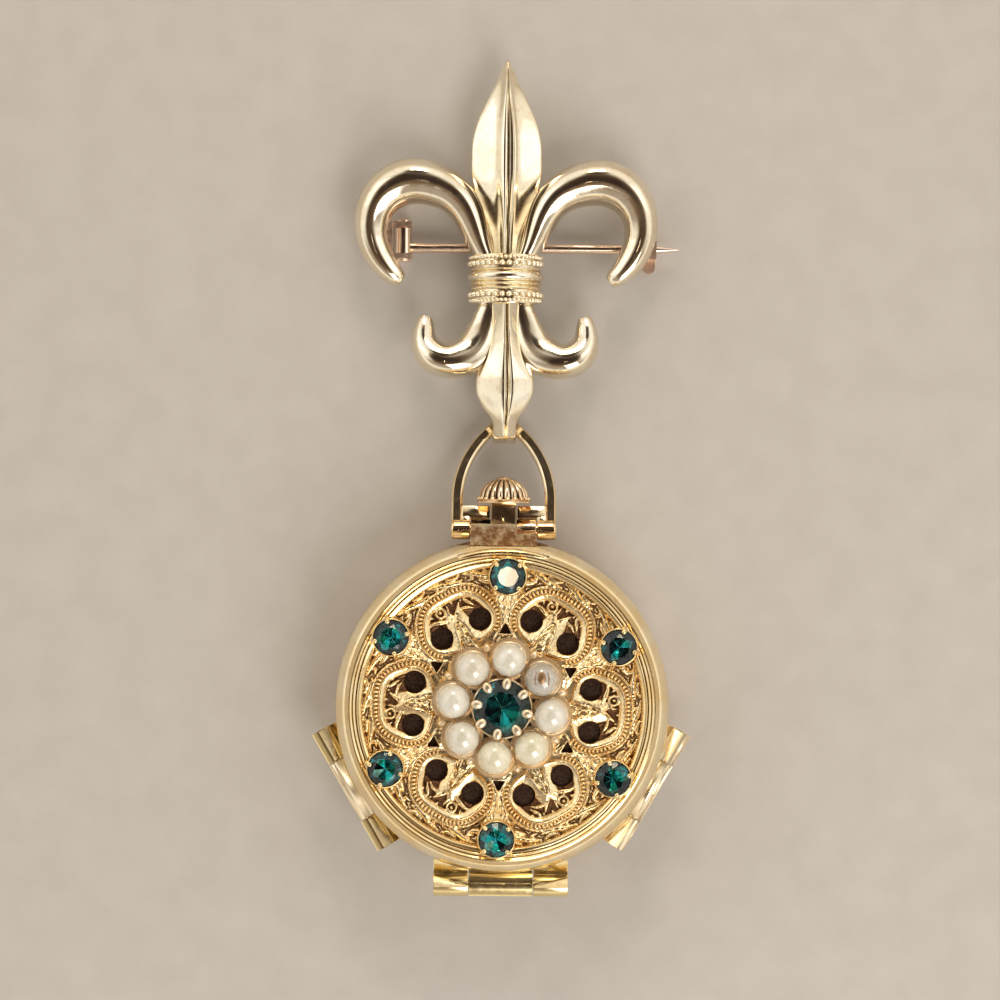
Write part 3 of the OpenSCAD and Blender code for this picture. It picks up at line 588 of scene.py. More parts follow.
SCROLL_RING = (10.95, 1.1, 0.46, 0.15)
SCROLL_DOTS = [(11.0, 1.12, 0.22), (9.72, 0.12, 0.24), (11.35, -0.3, 0.15), (11.2, -1.2, 0.13),
               (10.85, -2.3, 0.15)]
# Relief on the tongue between a lobe's two curls
TONGUE_STROKES = [[(6.9, 0.0, 0.1), (7.7, 0.0, 0.16), (8.6, 0.0, 0.2), (9.3, 0.0, 0.12)]] + mirrored([
    [(8.8, 0.12, 0.06), (8.3, 0.45, 0.15), (7.7, 0.62, 0.18), (7.1, 0.95, 0.08)],
    [(7.8, 0.1, 0.05), (7.4, 0.3, 0.12), (6.9, 0.4, 0.06)],
])
# Flowing scrolls round the lobes: points (distance out, angle in degrees) with half widths
SCROLL_STARTS = [-25.0, -9.0, 7.0]
BORDER_STROKES = [stroke for start in SCROLL_STARTS for stroke in (
    [(13.12, start - 1, 0.1), (12.98, start + 2.5, 0.22), (13.12, start + 6, 0.28),
     (13.42, start + 9.5, 0.24), (13.62, start + 14, 0.08)],
    [(13.62, start - 0.5, 0.08), (13.42, start + 2.2, 0.18), (13.56, start + 5.5, 0.1)],
    [(13.25, start + 11.5, 0.06), (12.98, start + 10.5, 0.16), (12.92, start + 12.8, 0.08)],
)] + mirrored([
    [(12.8, 26.0, 0.1), (12.45, 23.0, 0.28), (12.5, 19.5, 0.24), (12.75, 17.0, 0.08)],
    [(12.1, 25.5, 0.1), (11.7, 23.8, 0.32), (11.2, 24.2, 0.14)],
    [(10.9, 25.0, 0.1), (10.4, 25.6, 0.24), (9.8, 26.4, 0.12)],
    [(9.8, 27.0, 0.08), (9.2, 26.0, 0.22), (8.5, 27.5, 0.1)],
])


def lobe_places(x, y):
    """Every point as seen from its own lobe's middle line: out, across, distance, angle in degrees."""
    r = np.hypot(x, y)
    a = (np.degrees(np.arctan2(y, x)) - LOBE_FIRST + 30) % 60 - 30
    return r * np.cos(np.radians(a)), r * np.sin(np.radians(a)), r, a


def soft_min(a, b, k):
    h = np.clip(0.5 + 0.5 * (b - a) / k, 0, 1)
    return b + (a - b) * h - k * h * (1 - h)


def kidney_distance(u, v):
    """Distance from a lobe's outline, negative inside."""
    discs = [np.hypot(u - disc_u, np.abs(v) - disc_v) - disc_r for disc_u, disc_v, disc_r in LOBE_DISCS]
    whole = soft_min(soft_min(discs[0], discs[1], LOBE_SOFT), discs[2], LOBE_SOFT)
    notch = (NOTCH_TOP - u - 2.9 * v * v) / np.hypot(1.0, 5.8 * v)
    return np.maximum(whole, notch)


def hole_distance(u, v, r, a):
    """Distance from the nearest piercing, negative inside."""
    round_hole = np.hypot(u - HOLE_AT[0], np.abs(v) - HOLE_AT[1]) - HOLE_R
    between = np.radians(30 - np.abs(a))
    out, across = r * np.cos(between) - TRIANGLE_AT, r * np.sin(between)
    sides = [out * math.cos(math.radians(t)) + across * math.sin(math.radians(t)) for t in (60, 180, 300)]
    return np.minimum(round_hole, np.maximum.reduce(sides) - TRIANGLE_R)


def step(value, low, high):
    """A smooth rise from 0 to 1."""
    t = np.clip((value - low) / (high - low), 0, 1)
    return t * t * (3 - 2 * t)


def dome(away):
    """A round top: 1 in the middle, 0 from a distance of 1 on."""
    return np.sqrt(np.clip(1 - away**2, 0, 1))


def stroke_segments(u, v, stroke):
    """Every point's distance from each segment of a stroke, with the stroke's half width there."""
    points = smooth_rows(stroke, 4)
    for (u0, v0, w0), (u1, v1, w1) in zip(points, points[1:]):
        du, dv = u1 - u0, v1 - v0
        t = np.clip(((u - u0) * du + (v - v0) * dv) / (du * du + dv * dv), 0, 1)
        yield np.hypot(u - u0 - t * du, v - v0 - t * dv), w0 + t * (w1 - w0)


def stroke_height(u, v, stroke, high):
    """Rounded relief along a stroke, higher where the stroke is wide."""
    return high * np.maximum.reduce([dome(away / half_w) * (0.5 + 0.5 * half_w / FULL_HALF_W)
                                     for away, half_w in stroke_segments(u, v, stroke)])


def stroke_clearance(u, v, stroke):
    """Distance from a stroke's edge, negative on it."""
    return np.minimum.reduce([away - half_w for away, half_w in stroke_segments(u, v, stroke)])


def ornament_height(x, y):
    """Height of the cast relief over every point."""
    u, v, r, a = lobe_places(x, y)
    d = kidney_distance(u, v)
    wobble = 0.03 * np.sin(7.0 * x + 3.0 * np.sin(4.0 * y)) * np.sin(6.0 * y + 2.0 * np.sin(5.0 * x))
    # Inside a lobe: a floor with scrolls, within a smooth band that leans inward
    ring_u, ring_v, ring_r, ring_w = SCROLL_RING
    scroll = DOT_RISE * dome((np.hypot(u - ring_u, v - ring_v) - ring_r) / ring_w)
    for stroke in SCROLLS:
        scroll = np.maximum(scroll, stroke_height(u, v, stroke, SCROLL_RISE))
    for dot_u, dot_v, dot_r in SCROLL_DOTS:
        scroll = np.maximum(scroll, DOT_RISE * dome(np.hypot(u - dot_u, v - dot_v) / dot_r))
    inside = FLOOR_Z + wobble + scroll
    t = np.clip((BAND_OUT - d) / (BAND_OUT - BAND_IN), 0, 1)
    band = BAND_TOP - BAND_DROP * (0.3 * t + 0.7 * t * t) + 0.5 * wobble
    inside = np.maximum(inside, FLOOR_Z + (band - FLOOR_Z) * step(d, BAND_IN - 0.07, BAND_IN + 0.07))
    # Outside the rope: a channel with flowing leaves
    raised = WIRE_RISE * dome((d - WIRE_AT) / WIRE_HALF_W)
    clear = np.abs(d - WIRE_AT) - WIRE_HALF_W
    for stroke in BORDER_STROKES:
        places = [(*polar(out, turn), LEAF_SWELL * half_w) for out, turn, half_w in stroke]
        raised = np.maximum(raised, stroke_height(u, v, places, LEAF_RISE))
        clear = np.minimum(clear, stroke_clearance(u, v, places))
    outer = CHANNEL_Z + wobble + BACKING_RISE * step(clear, 0.07, 0.2) + raised
    outer = np.maximum(outer, CHANNEL_Z + 0.3 * step(r, 13.66, 13.78))
    # The strap between two lobes: a ribbed leaf from the pearls to the stone
    off = np.abs(np.radians(30 - np.abs(a)) * r)
    strap = STRAP_Z + 0.13 * np.cos(off * 9.0) * np.exp(-off) + 0.07 * np.sin(r * 7.0) - 0.1 * off * off
    strap_w = 0.75 + 0.4 * step(np.abs(r - 9.4), 0.4, 2.2)
    on_strap = step(off, strap_w + 0.12, strap_w - 0.12)
    low = np.where(r < 11.6, np.maximum(10.9 + wobble, outer), outer)
    outer = low + (np.maximum(strap, low) - low) * on_strap * step(r, 12.2, 11.6)
    petals = 0.5 + 0.5 * np.cos(np.radians(a * 12))
    heart = HEART_Z + 0.24 * petals * step(r, 8.4, 7.2) + wobble
    outer = np.where(r < 8.2, heart + (outer - heart) * step(r, 7.6, 8.2), outer)
    # The tongue between a lobe's two curls carries a rib and leaves of its own
    relief = np.maximum.reduce([stroke_height(u, v, stroke, TONGUE_RISE) for stroke in TONGUE_STROKES])
    tongue = TONGUE_Z + wobble + relief + (BAND_TOP - TONGUE_Z) * step(d, 0.26, 0.04)
    in_notch = (np.abs(v) < 1.25) & (u < NOTCH_TOP + 0.3)
    beyond = np.where(in_notch, tongue, ROPE_BED_Z)
    beyond = beyond + (outer - beyond) * step(d, ROPE_OUT, ROPE_OUT + 0.08)
    beyond = np.where(in_notch & (u > 7.3), tongue, beyond)
    return inside + (beyond - inside) * step(d, BAND_OUT, BAND_OUT + 0.1)


def ornament():
    """A grid over the plate, its points near a piercing moved onto the piercing's edge."""
    count = int(RECESS_R / GRID) + 1
    line = np.arange(-count, count + 1) * GRID
    x, y = np.meshgrid(line, line, indexing="ij")
    holes = hole_distance(*lobe_places(x, y))
    gx, gy = np.gradient(holes, GRID)
    size = np.maximum(np.hypot(gx, gy), 0.3)
    onto = np.abs(holes) < 0.5 * GRID
    below = (holes <= -0.5 * GRID) & (holes > -1.5 * GRID)
    move = np.where(onto, holes, np.where(below, holes + 0.35 * GRID, 0)) / size**2
    rim = np.hypot(x, y)
    limit = RECESS_R - 0.04
    z = ornament_height(x, y)
    x, y = x - gx * move, y - gy * move
    z = np.where(holes < -0.5 * GRID, HOLE_FOOT_Z, z)
    shrink = np.where(rim > limit, limit / np.maximum(rim, 1e-6), 1.0)
    x, y = x * shrink, y * shrink
    keep = (rim < limit + GRID) & (holes > -1.5 * GRID)
    cells = keep[:-1, :-1] & keep[1:, :-1] & keep[1:, 1:] & keep[:-1, 1:]
    index = np.arange(x.size).reshape(x.shape)
    quads = np.stack([index[:-1, :-1], index[1:, :-1], index[1:, 1:], index[:-1, 1:]], -1)[cells]
    used, faces = np.unique(quads, return_inverse=True)
    points = np.stack([x.ravel()[used], y.ravel()[used] + CASE_Y, z.ravel()[used]], 1)
    shape = Shape()
    shape.add(points, faces.reshape(-1, 4).tolist())
    return shape


ornament().piece("filigree_plate", "locket_front", filigree_gold, "filigree_gold", ["filigree"], sharp=180)


def outline_points(offset, pitch):
    """Places at an even pitch on half of a lobe's outline moved outward, with the outline's heading."""
    line = np.arange(7.0, 13.4, 0.02)
    across = np.arange(0.0, 5.2, 0.02)
    u, v = np.meshgrid(line, across, indexing="ij")
    d = kidney_distance(u, v) - offset
    near = np.argwhere((np.abs(d) < 0.014) & ((v > 1.25) | (u > NOTCH_TOP + 0.5)))
    cloud = np.stack([line[near[:, 0]], across[near[:, 1]]], 1)
    here = cloud[np.argmin(cloud[:, 1] + 5 * (cloud[:, 0] < 12.0))]
    path, heading = [here], np.array([0.0, 1.0])
    while len(path) < 300:
        gap = cloud - here
        far = np.hypot(gap[:, 0], gap[:, 1])
        ahead = np.where((far < 0.16) & (far > 0.05), gap @ heading, -9)
        best = int(np.argmax(ahead))
        if ahead[best] <= 0:
            break
        heading = gap[best] / far[best]
        here = cloud[best]
        path.append(here)
    path = np.array(path)
    along = np.concatenate([[0], np.cumsum(np.hypot(*np.diff(path, axis=0).T))])
    count = int(along[-1] / pitch)
    at = (np.arange(count) + 0.5) * along[-1] / count
    pu, pv = np.interp(at, along, path[:, 0]), np.interp(at, along, path[:, 1])
    turn = np.degrees(np.arctan2(np.gradient(pv), np.gradient(pu)))
    half = np.stack([pu, pv, turn], 1)
    return np.vstack([half, half * np.array([1, -1, -1])])


rope = Shape()
for u, v, heading in outline_points(ROPE_AT, ROPE_PITCH):
    for k in range(6):
        turn = LOBE_FIRST + 60 * k
        c, s = math.cos(math.radians(turn)), math.sin(math.radians(turn))
        centre = (u * c - v * s, CASE_Y + u * s + v * c, ROPE_Z)
        if math.hypot(centre[0], centre[1] - CASE_Y) > 6.9:
            rope.ball(centre, ROPE_BALL, 10, 8, heading + turn + 8)
rope.piece("filigree_rope", "locket_front", filigree_gold, "filigree_gold", sharp=180)


# The cover's rings, from the cream rim line inward to the flat band beside the ornament

rings = Shape()
rings.turned([(15.6, 11.15), (15.44, 11.46), (15.34, 11.62), (15.22, 11.84), (15.08, 11.97),
              (14.94, 12.0), (14.82, 11.94), (14.74, 11.86), (14.7, 11.83), (14.66, 11.86),
              (14.6, 11.93), (14.52, 11.96), (14.44, 11.93), (14.38, 11.86), (14.34, 11.83),
              (14.3, 11.87), (14.25, 11.97), (14.18, 12.0), (14.1, 11.98), (13.9, 11.91),
              (13.84, 11.86), (13.78, 11.72), (13.75, 11.4), (13.75, 10.7)], CASE, 240)
rings.piece("cover_rings", "locket_front", bezel_gold, "polished_gold", sharp=30)


# The thumb lip: a rounded crescent over the cover's edge below the neck

lip = Shape()
LIP_SECTION = [(14.9, 11.6), (14.92, 11.82), (15.02, 11.98), (15.18, 12.06), (15.38, 12.02),
               (15.55, 11.88), (15.66, 11.66), (15.66, 11.3), (15.5, 11.1), (15.1, 11.2)]
rows = []
for a in np.linspace(72.6, 107.4, 60):
    slim = math.sqrt(max(0.02, 1 - ((a - 90) / 17.5) ** 4))
    rows.append([(*(polar(15.3 + (r - 15.3) * slim, a) + CASE), 11.55 + (z - 11.55) * slim)
                 for r, z in LIP_SECTION])
lip.rings(rows[::-1])
lip.piece("thumb_lip", "locket_front", bezel_gold, "polished_gold", sharp=60)


# The outer knuckles: strip folded round the rod, wider toward the hinge's ends

# Each hinge: (angle, distance of its rod from the locket's middle, height, radius, body that rides on it)
HINGES = [(330.0, 17.05, 4.5, 1.0, "inner_leaf_1"), (210.0, 17.05, 6.3, 1.0, "inner_leaf_2"),
          (270.0, 17.8, 8.1, 1.15, "locket_front")]
for k, (degrees, axis_r, axis_z, r, body) in enumerate(HINGES):
    fold = Shape()
    out, along = polar(1.0, degrees), polar(1.0, degrees + 90)
    for end in (-1, 1):
        rows = []
        for t in np.linspace(0.0, 1.0, 9):
            place = end * (3.35 + 3.25 * t)
            reach = 0.05 + 0.8 * t
            section = [(axis_r + r * 0.82, 0.5 * r), (axis_r + r * 0.5, 0.84 * r + 0.02),
                       (axis_r, r + 0.05), (axis_r - 0.45 * reach, r + 0.07 + 0.16 * t),
                       (axis_r - reach, r + 0.03 + 0.26 * t), (axis_r - reach - 0.1, r - 0.12 + 0.2 * t),
                       (axis_r - reach, r - 0.22), (axis_r, r - 0.3), (axis_r + r * 0.6, 0.4 * r)]
            rows.append([(*(out * radius + along * place + CASE), axis_z + z) for radius, z in section])
        fold.rings(rows if end > 0 else rows[::-1])
    fold.piece(f"knuckle_folds_{k + 1}", body, hinge_gold, "gold", sharp=50)


# Seats of the six rim stones

seats = Shape()
SEAT_PROFILE = [(1.3, 11.0), (1.95, 11.02), (1.98, 11.5), (1.9, 11.95), (1.86, 12.3), (1.78, 12.36),
                (1.66, 12.32), (1.6, 12.1), (1.3, 11.9)]
SEAT_POST = smooth_rows([(1.95, 11.3), (1.98, 11.9), (1.9, 12.4), (1.72, 12.72), (1.55, 12.84)], 3)
for out, turn in spread(6, STONE_FIRST):
    centre = CASE + RIM_STONE_RING * out
    seats.turned(SEAT_PROFILE, centre, 48)
    for toward, _ in spread(4, turn + 45):
        seats.tube([(*(centre + r * toward), z) for r, z in SEAT_POST], np.linspace(0.26, 0.2, 13), 8)
        seats.ball((*(centre + 1.58 * toward), 12.82), (0.24, 0.24, 0.17), 10, 8)
seats.piece("stone_seats", "locket_front", filigree_gold, "filigree_gold", sharp=60)


# The pearls' cups and the middle stone's claws

cluster = Shape()
CUP_PROFILE = [(0.2, 11.44), (1.0, 11.46), (1.75, 11.6), (2.02, 11.85), (2.12, 12.2), (2.09, 12.32),
               (2.0, 12.32), (1.93, 12.18), (1.82, 12.1), (1.66, 12.2), (1.55, 12.5)]
for out, _ in spread(8, PEARL_FIRST):
    cluster.turned(CUP_PROFILE, CASE + PEARL_RING * out, 40)
cluster.turned([(0.0, 11.1), (3.2, 11.1), (3.3, 11.6), (3.05, 12.4), (2.95, 12.95), (2.84, 13.02),
                (2.7, 12.9), (2.6, 12.2), (2.2, 11.3), (0.0, 11.25)], CASE, 96)
for out, a in spread(8, PEARL_FIRST + 22.5):
    cluster.ball((*(CASE + 6.05 * out), 12.1), (0.5, 0.34, 0.42), 12, 8, a)
    cluster.tube([(*(CASE + 6.05 * out), z) for z in (11.1, 11.6, 12.1)], 0.3, 8)
cluster.turned([(5.6, 11.1), (6.15, 11.12), (6.3, 11.3), (6.2, 11.46), (5.6, 11.5)], CASE, 96)
CLAW_POST = smooth_rows([(2.93, 12.2), (2.98, 12.9), (2.93, 13.35), (2.75, 13.6)], 3)
for out, a in spread(8, PEARL_FIRST + 43):
    cluster.tube([(*(CASE + r * out), z) for r, z in CLAW_POST], 0.22, 8)
    cluster.ball((*(CASE + 2.5 * out), 13.76), (0.6, 0.46, 0.3), 16, 10, a)
cluster.piece("pearl_cups", "locket_front", cup_gold, "filigree_gold", ["pearl_cluster"], sharp=25)


# Cut stones: a clear crown over a foiled back whose facets differ in tone: painted flashes and painted dark
# reflections over the stones' teal

def brilliant(name, centre, r, crown, pavilion, turn, seed, node, bright):
    rng = np.random.default_rng(seed)
    cx, cy, cz = centre

    def place(radius, degrees, z):
        x, y = polar(radius, degrees + turn)
        return (cx + x, cy + y, cz + z)

    shape = Shape()
    table = [place(0.62 * r, 45 * k, crown) for k in range(8)]
    middle = [place(0.82 * r, 45 * k + 22.5, 0.54 * crown) for k in range(8)]
    girdle = [place(r, 22.5 * k, 0.06) for k in range(16)]
    low_girdle = [place(r, 22.5 * k, -0.06) for k in range(16)]
    lower = [place(rng.uniform(0.5, 0.6) * r, 45 * k + rng.uniform(17, 28),
                   -rng.uniform(0.46, 0.6) * pavilion) for k in range(8)]
    culet = [place(0.03 * r, 45 * k, -pavilion) for k in range(8)]
    points = table + middle + girdle + low_girdle + lower + culet
    t, m, g, h, w, c = 0, 8, 16, 32, 48, 56
    glassy = [tuple(range(t, t + 8))]
    backs = []
    for k in range(8):
        n = (k + 1) % 8
        glassy += [(t + k, m + k, t + n), (t + k, m + (k - 1) % 8, g + 2 * k, m + k),
                   (m + k, g + 2 * k, g + 2 * k + 1), (m + k, g + 2 * k + 1, g + (2 * k + 2) % 16)]
        backs += [(h + 2 * k, w + k, h + 2 * k + 1), (h + 2 * k + 1, w + k, h + (2 * k + 2) % 16),
                  (h + 2 * k, w + (k - 1) % 8, c + k, w + k), (w + k, c + k, c + n)]
    for j in range(16):
        glassy.append((g + j, h + j, h + (j + 1) % 16, g + (j + 1) % 16))
    shape.add(points, glassy + backs + [tuple(range(c, c + 8))[::-1]])
    # Each back facet takes a foil tone at random, so that painted flashes and painted dark reflections lie
    # among the facets; the culet is painted dark
    tones = rng.choice([1, 2, 3, 4, 5], size=len(backs) + 1, p=bright)
    tones[-1] = 1
    shape.tints = [0] * len(glassy) + [int(x) for x in tones]
    shape.piece(name, "locket_front", stone_materials, "green_stone", [node], sharp=1)


brilliant("middle_stone", (0.0, CASE_Y, CENTRE_GIRDLE_Z), CENTRE_STONE_R, 0.85, 1.85, 10, 4,
          "centre_stone", (0.2, 0.34, 0.22, 0.15, 0.09))
for k in range(6):
    x, y = polar(RIM_STONE_RING, STONE_FIRST + 60 * k)
    brilliant(f"rim_stone_cut_{k + 1}", (x, y + CASE_Y, RIM_GIRDLE_Z), RIM_STONE_R, 0.5, 1.15,
              13 * k, 20 + k, f"rim_stone_{k + 1}", (0.42, 0.24, 0.17, 0.1, 0.07))


# Pearls, a little uneven; the worn one shows the end of its peg

def pearl(k, material):
    cx, cy = polar(PEARL_RING, PEARL_FIRST + 45 * (k - 1))
    rng = np.random.default_rng(70 + k)
    shape = Shape()
    shape.ball((0, 0, 0), (PEARL_R, PEARL_R, PEARL_R), 48, 32)
    points = shape.points[0]
    size = np.linalg.norm(points, axis=1)[:, None]
    heading = rng.normal(size=(3, 3))
    swell = 1 + 0.006 * np.sin(points @ heading[0] * 1.3) + 0.004 * np.sin(points @ heading[1] * 2.1)
    shape.points[0] = points / np.maximum(size, 1e-9) * PEARL_R * swell[:, None] * 0.995 + np.array(
        [cx, cy + CASE_Y, PEARL_Z])
    materials = [material]
    if material is pearl_worn:
        shape.ball((cx - 0.05, cy + CASE_Y + 0.2, PEARL_Z + 0.95 * PEARL_R), (0.42, 0.6, 0.13), 16, 8,
                   tint=1)
        for side in (-1, 1):
            shape.tube([(cx + 0.62 * side, cy + CASE_Y - 0.5, PEARL_Z + 0.9 * PEARL_R),
                        (cx + 0.7 * side, cy + CASE_Y + 0.1, PEARL_Z + 0.92 * PEARL_R),
                        (cx + 0.55 * side, cy + CASE_Y + 0.75, PEARL_Z + 0.86 * PEARL_R)],
                       [0.03, 0.07, 0.03], 6, tint=1)
        materials.append(peg_brown)
    shape.piece(f"pearl_bead_{k}", "locket_front", materials, "pearl", [f"pearl_{k}"], sharp=180)


for k in range(1, 9):
    pearl(k, pearl_worn if k == 8 else pearl_warm if k in (5, 6) else pearl_cream)


# The crown: a dome of rounded flutes with small bead ends, a cap, and thin discs under it

CROWN_FLUTES = 20
crown = Shape()


def crown_point(r, h, a):
    """A point on the crown, whose axis runs along the brooch."""
    x, z = polar(r, a)
    return (x, CROWN_BASE_Y + h, BAR_Z + z)


def crown_turned(profile, steps=80):
    crown.rings([[crown_point(r, h, a) for a in np.arange(steps) * -360 / steps] for r, h in profile],
                caps=False)


crown_turned([(0, 0), (2.66, 0), (2.7, 0.06), (2.7, 0.12), (2.64, 0.17), (2.4, 0.18), (2.4, 0.22),
              (2.56, 0.24), (2.6, 0.3), (2.54, 0.36), (2.1, 0.38)])
FLUTE_STEPS, DOME_BANDS = 10, 21
steps = CROWN_FLUTES * FLUTE_STEPS
rows = []
for t in np.radians(np.linspace(0, 74, DOME_BANDS + 1)):
    ring = []
    for k in range(steps):
        flute = abs(math.sin(math.pi * k / FLUTE_STEPS))
        swell = (0.1 + 0.9 * flute**0.6) * math.cos(t) ** 0.5
        ring.append(crown_point(2.28 * math.cos(t) + 0.26 * swell - 0.05,
                                0.36 + 2.05 * math.sin(t) + 0.1 * swell, -360 * k / steps))
    rows.append(ring)
crown.rings(rows, caps=False)
shades = [1 if k % FLUTE_STEPS in (0, 8, 9) else 0 for k in range(steps)]
crown.tints[-DOME_BANDS * steps:] = shades * DOME_BANDS
for k in range(CROWN_FLUTES):
    crown.ball(crown_point(2.46, 0.44, -360 * (k + 0.5) / CROWN_FLUTES), (0.27, 0.2, 0.27), 10, 6)
crown_turned([(0.78, 2.22), (0.82, 2.36), (0.7, 2.5), (0.4, 2.58), (0, 2.6)])
crown.piece("crown_fluted", "locket_back", [crown_gold, groove_gold], "gold", ["crown"], sharp=50)


# The bow: a flat strap with bright chamfered edges, a bar in two halves, and two lugs on the rod

BOW_LEN = math.hypot(EYE_Y - BAR_Y, BAR_Z - EYE_Z)
BOW_SLOPE = math.atan2(BAR_Z - EYE_Z, EYE_Y - BAR_Y)


def on_bow(x, y, z):
    """A place in the bow's own plane: across, from the rod toward the eye, and out of its face."""
    c, s = math.cos(BOW_SLOPE), math.sin(BOW_SLOPE)
    return (x, BAR_Y + y * c + z * s, BAR_Z - y * s + z * c)


def arch_points(half_w, low, tip_half_w, top, count):
    """Points up one side of a pointed arch: an upright, then an arc to its tip."""
    rise = top - BOW_SIDE_H
    past = (rise * rise + tip_half_w**2 - half_w**2) / (2 * (half_w - tip_half_w))
    end = math.asin(rise / (half_w + past))
    arc = [((half_w + past) * math.cos(t) - past, BOW_SIDE_H + (half_w + past) * math.sin(t))
           for t in np.linspace(0, end, count)]
    return np.array([(half_w, low), (half_w, (low + BOW_SIDE_H) / 2)] + arc)


bow = Shape()
LUG_INSIDE, BOW_INSIDE = NECK_HALF_W + BOW_GAP, BOW_HALF_W - STRAP_W
outer = arch_points(BOW_HALF_W, 0.0, BOW_TIP_HALF_W, BOW_LEN + 0.35, 28)
inner = arch_points(BOW_INSIDE, 0.0, BOW_TIP_HALF_W - 0.15, BOW_LEN - 0.75, 28)
half_t, soft, drop = STRAP_T / 2, 0.24, 0.11
STRAP_SECTION = [(0.0, drop - half_t), (0.0, half_t - drop - 0.06), (0.04, half_t - drop),
                 (0.8 * soft, half_t), (-soft, half_t), (-0.04, half_t - drop),
                 (0.0, half_t - drop - 0.06), (0.0, drop - half_t), (-soft, -half_t), (soft, -half_t)]
for side in (1, -1):
    rows = []
    for o, i in zip(outer, inner):
        width = np.linalg.norm(i - o)
        ahead = (i - o) / width
        ring = []
        for j, (u, z) in enumerate(STRAP_SECTION):
            at = o + ahead * (u if j < 4 or j == 9 else width + u)
            ring.append(on_bow(side * at[0], at[1], z))
        rows.append(ring)
    bow.rings(rows if side < 0 else rows[::-1])
    for low, high in (((TONGUE_HALF_W + BOW_GAP, BOW_PLATE[0], 0.02 - half_t),
                       (BOW_INSIDE + 0.1, BOW_PLATE[1], half_t - 0.02)),
                      ((LUG_INSIDE, 0.0, 0.04 - half_t),
                       (BOW_INSIDE + 0.2, BOW_PLATE[0] + 0.3, half_t - 0.04))):
        xs = sorted((side * low[0], side * high[0]))
        bow.box((xs[0], low[1], low[2]), (xs[1], high[1], high[2]), on_bow, 0.1, drop=0.05)
    lug = [(LUG_INSIDE, 0.3), (LUG_INSIDE, LUG_R - 0.12), (LUG_INSIDE + 0.1, LUG_R),
           (BOW_HALF_W - 0.3, LUG_R), (BOW_HALF_W - 0.24, LUG_R - 0.07),
           (BOW_HALF_W - 0.18, LUG_R), (BOW_HALF_W - 0.08, LUG_R - 0.04),
           (BOW_HALF_W, LUG_R - 0.14), (BOW_HALF_W, 0.42), (BOW_HALF_W + 0.05, 0.36),
           (BOW_HALF_W + 0.05, 0.1)]
    bow.spindle([(side * x, r) for x, r in lug][::side], on_bow)
bow.spindle([(-3.5, 0.3), (-3.5, JOURNAL_R), (3.5, JOURNAL_R), (3.5, 0.3)], on_bow)
bow.spindle([(x, r) for x, r in [(-1.5, 0.3), (-1.5, 0.5), (-1.4, JOURNAL_R), (1.4, JOURNAL_R),
                                 (1.5, 0.5), (1.5, 0.3)]], lambda x, y, z: on_bow(x, BOW_LEN + y, z))
bow.piece("stirrup_bow", "bow", bow_gold, "polished_gold", ["bow"], sharp=28)


# The neck's worn block and the dark tongue in front of the crown

def straight(x, y, z):
    return (x, y, z)


neck = Shape()
neck.box((-TONGUE_HALF_W, BAR_Y - 0.3, BAR_Z - 0.8),
         (TONGUE_HALF_W, CROWN_BASE_Y - 0.01, BAR_Z + LUG_R + 0.05), straight, 0.16, drop=0.07)
neck.box((-NECK_HALF_W - 0.02, NECK_BACK_Y - 0.02, BAR_Z + 0.6),
         (TONGUE_HALF_W + 0.02, BAR_Y + 0.58, NECK_TOP + 0.03), straight, 0.12, tint=1)
neck.box((TONGUE_HALF_W - 0.3, NECK_BACK_Y - 0.02, BAR_Z + 0.62),
         (NECK_HALF_W + 0.02, BAR_Y - 0.32, NECK_TOP + 0.02), straight, 0.12, tint=1)
neck.spindle([(x, r) for x, r in [(1.2, 0.7), (1.2, 1.0), (1.3, 1.03), (3.17, 1.03), (3.26, 0.96),
                                  (3.26, 0.7)]], lambda x, y, z: (x, BAR_Y + y, BAR_Z + z), tint=2)
neck.piece("neck_block", "locket_back", [bow_gold, neck_gold, crown_gold], "gold", sharp=28)


# Camera, lights and floor

camera_data = bpy.data.cameras.new("camera")
camera_data.sensor_width = 36.0
camera_data.lens = 108.0
camera_data.clip_start = 0.01
camera_data.clip_end = 20.0
camera = add_object("camera", camera_data)
camera.location = (-0.38 * MM, -2.47 * MM, 306 * MM)
camera.rotation_euler = (0.0, 0.0, math.radians(0.5))
bpy.context.scene.camera = camera


def softbox(name, place, size, power, colour):
    """A soft rectangular light that faces the middle of the brooch."""
    data = bpy.data.lights.new(name, "AREA")
    data.shape = "RECTANGLE"
    data.size, data.size_y = size[0] * MM, size[1] * MM
    data.energy = power
    data.color = colour
    light = add_object(name, data)
    light.location = [c * MM for c in place]
    aim = -light.location.normalized()
    light.rotation_euler = aim.to_track_quat("-Z", "Y").to_euler()


softbox("left_box", (-330, 160, 300), (240, 300), 0.1, (1.0, 0.98, 0.95))
softbox("right_box", (330, 120, 320), (180, 260), 0.08, (1.0, 0.97, 0.92))
softbox("lamp", (135, -235, 290), (200, 250), 0.62, (1.0, 0.98, 0.94))
softbox("far_lamp", (8, 330, 220), (110, 110), 0.3, (1.0, 0.82, 0.6))

glint = bpy.data.lights.new("glint", "AREA")
glint.shape = "DISK"
glint.size = 6.6 * MM
glint.energy = 0.0022
glint.color = (1.0, 0.8, 0.56)
add_object("glint", glint).location = (0.9 * MM, -17.8 * MM, 304 * MM)

